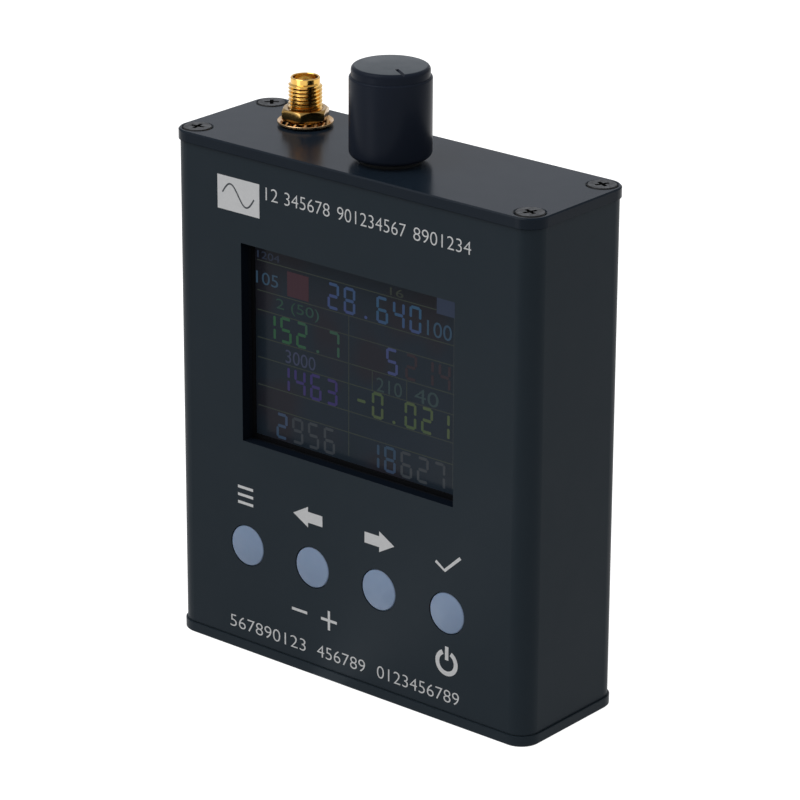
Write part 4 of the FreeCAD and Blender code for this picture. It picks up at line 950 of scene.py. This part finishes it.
def film(name, points, front, thickness):
    # Draws the outline from one point to the next, fills it and gives it a thickness
    x, z = points[0]
    piece = startPiece(name, bpy.ops.mesh.primitive_plane_add, (x, front, z), size=mm)
    bpy.ops.object.mode_set(mode="EDIT")
    bpy.ops.mesh.select_mode(type="VERT")
    bpy.ops.mesh.select_all(action="SELECT")
    bpy.ops.mesh.merge(type="CENTER")
    for nextX, nextZ in points[1:]:
        step = ((nextX - x) * mm, 0, (nextZ - z) * mm)
        bpy.ops.mesh.extrude_region_move(TRANSFORM_OT_translate={"value": step})
        x, z = nextX, nextZ
    bpy.ops.mesh.select_all(action="SELECT")
    bpy.ops.mesh.edge_face_add()
    bpy.ops.mesh.extrude_region_move(TRANSFORM_OT_translate={"value": (0, -thickness * mm, 0)})
    bpy.ops.mesh.select_all(action="SELECT")
    bpy.ops.mesh.normals_make_consistent(inside=False)
    bpy.ops.object.mode_set(mode="OBJECT")
    return piece


def bar(left, right, foot, top):
    return [(left, foot), (right, foot), (right, top), (left, top)]


def ribbon(path, width):
    # The outline of a line of even width along a path
    there, back = [], []
    for index, (x, z) in enumerate(path):
        before, after = path[max(index - 1, 0)], path[min(index + 1, len(path) - 1)]
        along = Vector((after[0] - before[0], after[1] - before[1])).normalized()
        there.append((x - along.y * width / 2, z + along.x * width / 2))
        back.append((x + along.y * width / 2, z - along.x * width / 2))
    return there + back[::-1]


def figures(text, edges, front, thickness, thin=0.0):
    # Plain figures, fitted between their left, right, foot and top edges
    left, right, foot, top = edges
    bpy.ops.object.select_all(action="DESELECT")
    bpy.ops.object.text_add()
    piece = bpy.context.object
    piece.name = "figures"
    piece.data.body = text
    piece.data.offset = -thin
    bpy.ops.object.convert(target="MESH")
    spots = [vertex.co for vertex in piece.data.vertices]
    lowX, highX = min(s.x for s in spots), max(s.x for s in spots)
    lowY, highY = min(s.y for s in spots), max(s.y for s in spots)
    growX = (right - left) * mm / (highX - lowX)
    growY = (top - foot) * mm / (highY - lowY)
    piece.scale = (growX, growY, 1)
    piece.rotation_euler = (math.radians(90), 0, 0)
    piece.location = (left * mm - lowX * growX, front * mm, foot * mm - lowY * growY)
    bpy.ops.object.transform_apply(location=True, rotation=True, scale=True)
    bpy.ops.object.mode_set(mode="EDIT")
    bpy.ops.mesh.select_mode(type="FACE")
    bpy.ops.mesh.select_all(action="SELECT")
    bpy.ops.mesh.remove_doubles(threshold=0.0005 * mm)
    bpy.ops.mesh.extrude_region_move(TRANSFORM_OT_translate={"value": (0, -thickness * mm, 0)})
    bpy.ops.mesh.select_all(action="SELECT")
    bpy.ops.mesh.normals_make_consistent(inside=False)
    bpy.ops.object.mode_set(mode="OBJECT")
    return piece


# Readout: seven-segment numbers, small figures, blocks and thin rules on the display's glass

readout = {
    "film": 0.02, "pitch": 3.86, "tall": 5.1, "wide": 2.75, "stroke": 0.58, "gap": 0.2,
    # how far a segment's two points reach into the gaps together, in strokes
    "acrossReach": 0.5, "uprightReach": 0.8,
    "segments": {
        "0": "abcdef", "1": "bc", "2": "abdeg", "3": "abcdg", "4": "bcfg", "5": "acdfg", "6": "acdefg",
        "7": "abc", "8": "abcdefg", "9": "abcdfg", "-": "g", ".": "p",
    },
    # text, right edge, foot, colour
    "numbers": (
        ("28.640", 14.7, 72.1, "glowBlue"),
        ("152.7", -4.5, 62.8, "glowGreen"),
        ("5", 9.3, 62.8, "glowViolet"),
        ("214", 21.5, 62.8, "glowDimRed"),
        ("1463", -5.0, 53.4, "glowPurple"),
        ("-0.021", 21.4, 53.5, "glowLime"),
        ("2", -17.2, 43.7, "glowSteel"),
        ("956", -5.6, 43.7, "glowGrey"),
        ("18", 8.9, 43.7, "glowSteel"),
        ("627", 20.5, 43.7, "glowGrey"),
    ),
    # text, left, right, foot, top, colour
    "labels": (
        ("1204", -24.35, -18.9, 78.1, 79.5, "glowSlate"),
        ("105", -24.7, -19.3, 73.1, 75.5, "glowCyan"),
        ("16", 7.4, 10.5, 78.0, 79.5, "glowOlive"),
        ("2 (50)", -19.8, -9.4, 68.6, 71.2, "glowDeepGreen"),
        ("100", 16.0, 21.7, 72.4, 75.3, "glowCyan"),
        ("3000", -17.6, -10.3, 59.1, 61.7, "glowPale"),
        ("210", 4.3, 10.3, 58.9, 61.6, "glowTeal"),
        ("40", 13.2, 18.8, 59.0, 61.8, "glowTeal"),
    ),
    # left, right, foot, top, colour
    "blocks": (
        (-17.1, -11.9, 72.2, 77.0, "glowRed"),
        (18.2, 22.3, 77.0, 80.0, "glowBlock"),
    ),
    "rule": 0.16,
    "ruleEnds": (-24.4, 24.4),
    "ruleLevels": (77.65, 71.8, 68.0, 62.6, 58.7, 53.3, 49.15),
    # x, foot, top
    "uprights": ((-2.3, 44.5, 71.8), (3.3, 58.8, 62.6), (11.4, 58.8, 62.6)),
    "faintUpright": (22.2, 44.5, 77.6),
}


def makeSegment(length):
    # A long six-sided bar with pointed ends, lying across, its middle on the origin
    stroke, thickness = readout["stroke"], readout["film"]
    radius = stroke / math.sqrt(3)
    segment = startPiece(
        "segment", bpy.ops.mesh.primitive_cylinder_add, (0, -thickness / 2, 0), vertices=6,
        radius=radius * mm, depth=thickness * mm, rotation=(math.radians(90), math.radians(30), 0),
    )
    bpy.ops.object.mode_set(mode="EDIT")
    for side in (-1, 1):
        pick(segment, "VERT", lambda vertex: vertex.co.x * side > 0)
        bpy.ops.transform.translate(value=(side * (length / 2 - radius) * mm, 0, 0))
    bpy.ops.object.mode_set(mode="OBJECT")
    return segment


def makeNumber(text, right, foot, front, segments):
    wide, tall, stroke = readout["wide"], readout["tall"], readout["stroke"]
    edge = stroke / 2
    spots = {
        "a": (wide / 2, tall - edge), "b": (wide - edge, tall * 3 / 4), "c": (wide - edge, tall / 4),
        "d": (wide / 2, edge), "e": (edge, tall / 4), "f": (edge, tall * 3 / 4), "g": (wide / 2, tall / 2),
        "p": (wide / 2, edge),
    }
    pieces = []
    for index, sign in enumerate(reversed(text)):
        left = right - wide - index * readout["pitch"]
        for letter in readout["segments"][sign]:
            kind = "across" if letter in "adg" else "point" if letter == "p" else "upright"
            x, z = spots[letter]
            pieces.append(copyPiece(segments[kind], (left + x, front, foot + z)))
    return pieces


def makeReadout():
    front = corners("display_glass")[0].y
    thickness, rule, stroke = readout["film"], readout["rule"], readout["stroke"]
    inset = stroke / 2 + readout["gap"]
    segments = {
        "across": makeSegment(readout["wide"] - 2 * inset + stroke * readout["acrossReach"]),
        "upright": makeSegment(readout["tall"] / 2 - 2 * inset + stroke * readout["uprightReach"]),
        "point": makeSegment(2 * stroke / math.sqrt(3) + 0.1),
    }
    turnPiece(segments["upright"], 90, (0, 1, 0))
    found = {}
    for text, right, foot, colour in readout["numbers"]:
        found.setdefault(colour, []).extend(makeNumber(text, right, foot, front, segments))
    for text, left, right, foot, top, colour in readout["labels"]:
        found.setdefault(colour, []).append(figures(text, (left, right, foot, top), front, thickness))
    for left, right, foot, top, colour in readout["blocks"]:
        patch = film("block", bar(left, right, foot, top), front, thickness)
        found.setdefault(colour, []).append(patch)
    left, right = readout["ruleEnds"]
    lines = [bar(left, right, level - rule / 2, level + rule / 2) for level in readout["ruleLevels"]]
    lines += [bar(x - rule / 2, x + rule / 2, foot, top) for x, foot, top in readout["uprights"]]
    # The rules lie a little behind the figures that cross them.
    found["glowRule"] = [film("rule", line, front, thickness / 2) for line in lines]
    x, foot, top = readout["faintUpright"]
    faint = bar(x - rule / 2, x + rule / 2, foot, top)
    found["glowFaint"] = [film("rule", faint, front, thickness / 4)]
    for colour, pieces in found.items():
        piece = joinPieces(pieces)
        piece.name = "readout" + colour[4:]
        finishPiece(piece, colour, "housing")
    for segment in segments.values():
        bpy.data.objects.remove(segment)


# Front print: pale ink figures and signs on the case

frontPrint = {
    "film": 0.02,
    "thin": 0.012,
    "panel": (-30.92, -20.7, 87.15, 93.65),
    "wave": {"left": -29.7, "right": -22.0, "middle": 90.4, "swing": 1.9, "stroke": 0.32, "steps": 48},
    # text, left, right, foot, top
    "figures": (
        ("12", -19.15, -16.25, 91.0, 93.45),
        ("345678", -14.65, -3.9, 91.0, 93.45),
        ("901234567", -2.1, 13.8, 91.0, 93.45),
        ("8901234", 15.55, 28.55, 91.0, 93.45),
        ("567890123", -29.0, -10.05, 4.05, 6.5),
        ("456789", -7.2, 4.54, 4.05, 6.5),
        ("0123456789", 7.46, 26.9, 4.05, 6.5),
    ),
    # tip, head's foot, tail, level
    "arrows": ((-12.9, -9.3, -5.8, 31.55), (11.47, 7.9, 4.4, 31.35)),
    "head": 4.1, "shaft": 2.15,
    # left, right, foot, top
    "bars": (
        (-26.7, -22.9, 32.95, 33.5),
        (-26.7, -22.9, 31.4, 31.95),
        (-26.7, -22.9, 29.85, 30.4),
        (-13.4, -9.6, 11.8, 12.35),
        (-6.2, -2.3, 11.8, 12.35),
    ),
    "plus": (-4.25, 0.55, 10.12, 14.02),
    "tick": ((21.2, 31.3), (23.3, 29.95), (26.9, 33.3)),
    "tickStroke": 0.6,
    "power": {
        "middle": (23.94, 11.9), "radius": 2.15, "stroke": 0.9, "gap": 26.0, "steps": 40,
        "bar": (23.56, 24.36, 12.4, 15.1),
    },
}


def arrow(tip, headFoot, tail, level):
    head, shaft = frontPrint["head"] / 2, frontPrint["shaft"] / 2
    upper = [(headFoot, level + head), (headFoot, level + shaft), (tail, level + shaft)]
    lower = [(x, 2 * level - z) for x, z in reversed(upper)]
    return [(tip, level)] + upper + lower


def makeFrontPrint():
    front = corners("case_sleeve")[0].y
    thickness = frontPrint["film"]
    outlines = [bar(*frontPrint["panel"])] + [arrow(*spot) for spot in frontPrint["arrows"]]
    outlines += [bar(*edges) for edges in frontPrint["bars"]]
    middle, width, foot, top = frontPrint["plus"]
    crossing = frontPrint["bars"][-1]
    outlines.append(bar(middle - width / 2, middle + width / 2, foot, crossing[2]))
    outlines.append(bar(middle - width / 2, middle + width / 2, crossing[3], top))
    outlines.append(ribbon(frontPrint["tick"], frontPrint["tickStroke"]))
    power = frontPrint["power"]
    ring = arc(power["middle"], power["radius"], 90 + power["gap"], 450 - power["gap"], power["steps"])
    outlines += [ribbon(ring, power["stroke"]), bar(*power["bar"])]
    pieces = [film("printShape", outline, front, thickness) for outline in outlines]
    for text, left, right, foot, top in frontPrint["figures"]:
        edges = (left, right, foot, top)
        pieces.append(figures(text, edges, front, thickness, frontPrint["thin"]))
    printed = joinPieces(pieces)
    printed.name = "frontPrint"
    finishPiece(printed, "print", "housing")

    wave = frontPrint["wave"]
    span = wave["right"] - wave["left"]
    path = []
    for step in range(wave["steps"] + 1):
        share = step / wave["steps"]
        swing = wave["swing"] * math.sin(2 * math.pi * share)
        path.append((wave["left"] + span * share, wave["middle"] + swing))
    sign = film("waveSign", ribbon(path, wave["stroke"]), front - thickness, thickness / 2)
    finishPiece(sign, "print_dark", "housing")


makeReadout()
makeFrontPrint()
print("readout and print made")


# Studio: pale floor, soft lights, white surroundings

studio = {
    "floorSize": 6.0,
    # just under the case, so the two faces don't share a level
    "floorLevel": -0.02,
    "floorShare": 0.3,
    "worldLight": 0.6,
    # A brighter wedge of floor, painted light seen only in reflections: its heading and widths in degrees,
    # and how much brighter
    "paintedGlossWedge": {"azimuth": -17.0, "outer": 16.0, "inner": 6.0, "extra": 1.5},
    # place, size, power, colour
    "key": ((-0.5, -0.7, 1.3), 1.0, 9.0, "#ffffff"),
    "rear": ((-1.15, 1.39, 0.74), 1.6, 3.0, "#e2ebff"),
}


def makeFloor():
    # White where it is looked at or mirrored, and it keeps a faint shadow of the object
    bpy.ops.object.select_all(action="DESELECT")
    bpy.ops.mesh.primitive_plane_add(size=studio["floorSize"], location=(0, 0, studio["floorLevel"] * mm))
    floor = bpy.context.object
    floor.name = "floor"
    material = bpy.data.materials.new("paperFloor")
    material.use_nodes = True
    tree = material.node_tree
    tree.nodes.clear()
    rays = addNode(tree, "ShaderNodeLightPath").outputs
    seen = calc(tree, "MAXIMUM", rays["Is Camera Ray"], rays["Is Glossy Ray"])
    seen = calc(tree, "MAXIMUM", seen, rays["Is Transmission Ray"])
    # Shiny parts also mirror a brighter sector of it: painted light, which only reflections show.
    paintedGlossWedge = studio["paintedGlossWedge"]
    azimuth = math.radians(paintedGlossWedge["azimuth"])
    place = addNode(tree, "ShaderNodeTexCoord").outputs["Object"]
    heading = addNode(tree, "ShaderNodeVectorMath", {0: place}, operation="NORMALIZE").outputs[0]
    toward = addNode(
        tree, "ShaderNodeVectorMath", {0: heading, 1: (math.sin(azimuth), -math.cos(azimuth), 0)},
        operation="DOT_PRODUCT",
    ).outputs["Value"]
    paintedWedge = addNode(
        tree, "ShaderNodeMapRange",
        {"Value": toward, "From Min": math.cos(math.radians(paintedGlossWedge["outer"])),
         "From Max": math.cos(math.radians(paintedGlossWedge["inner"])), "To Min": 0.0, "To Max": paintedGlossWedge["extra"]},
        interpolation_type="SMOOTHSTEP",
    ).outputs["Result"]
    paintedWedge = calc(tree, "MULTIPLY", paintedWedge, rays["Is Glossy Ray"])
    seen = calc(tree, "ADD", seen, paintedWedge)
    share = studio["floorShare"]
    paper = addNode(tree, "ShaderNodeBsdfDiffuse", {"Color": (share, share, share, 1)})
    glow = addNode(tree, "ShaderNodeEmission", {"Color": linear("#ffffff"), "Strength": seen})
    both = addNode(tree, "ShaderNodeAddShader", {0: paper.outputs[0], 1: glow.outputs[0]})
    addNode(tree, "ShaderNodeOutputMaterial", {"Surface": both.outputs[0]})
    floor.data.materials.append(material)


def makeStudio():
    world = bpy.data.worlds.new("studio")
    bpy.context.scene.world = world
    world.use_nodes = True
    tree = world.node_tree
    tree.nodes.clear()
    seen = addNode(tree, "ShaderNodeLightPath").outputs["Is Camera Ray"]
    strength = calc(tree, "MAXIMUM", seen, studio["worldLight"])
    light = addNode(tree, "ShaderNodeBackground", {"Color": linear("#ffffff"), "Strength": strength})
    addNode(tree, "ShaderNodeOutputWorld", {"Surface": light.outputs[0]})
    makeFloor()

    for name in ("key", "rear"):
        spot, size, power, colour = studio[name]
        bpy.ops.object.light_add(type="AREA", location=spot)
        lamp = bpy.context.object
        lamp.name = name
        lamp.data.shape = "SQUARE"
        lamp.data.size = size
        lamp.data.energy = power
        lamp.data.color = linear(colour)[:3]
        lamp.rotation_mode = "QUATERNION"
        lamp.rotation_quaternion = Vector(spot).to_track_quat("Z", "Y")


makeStudio()
print("studio ready")
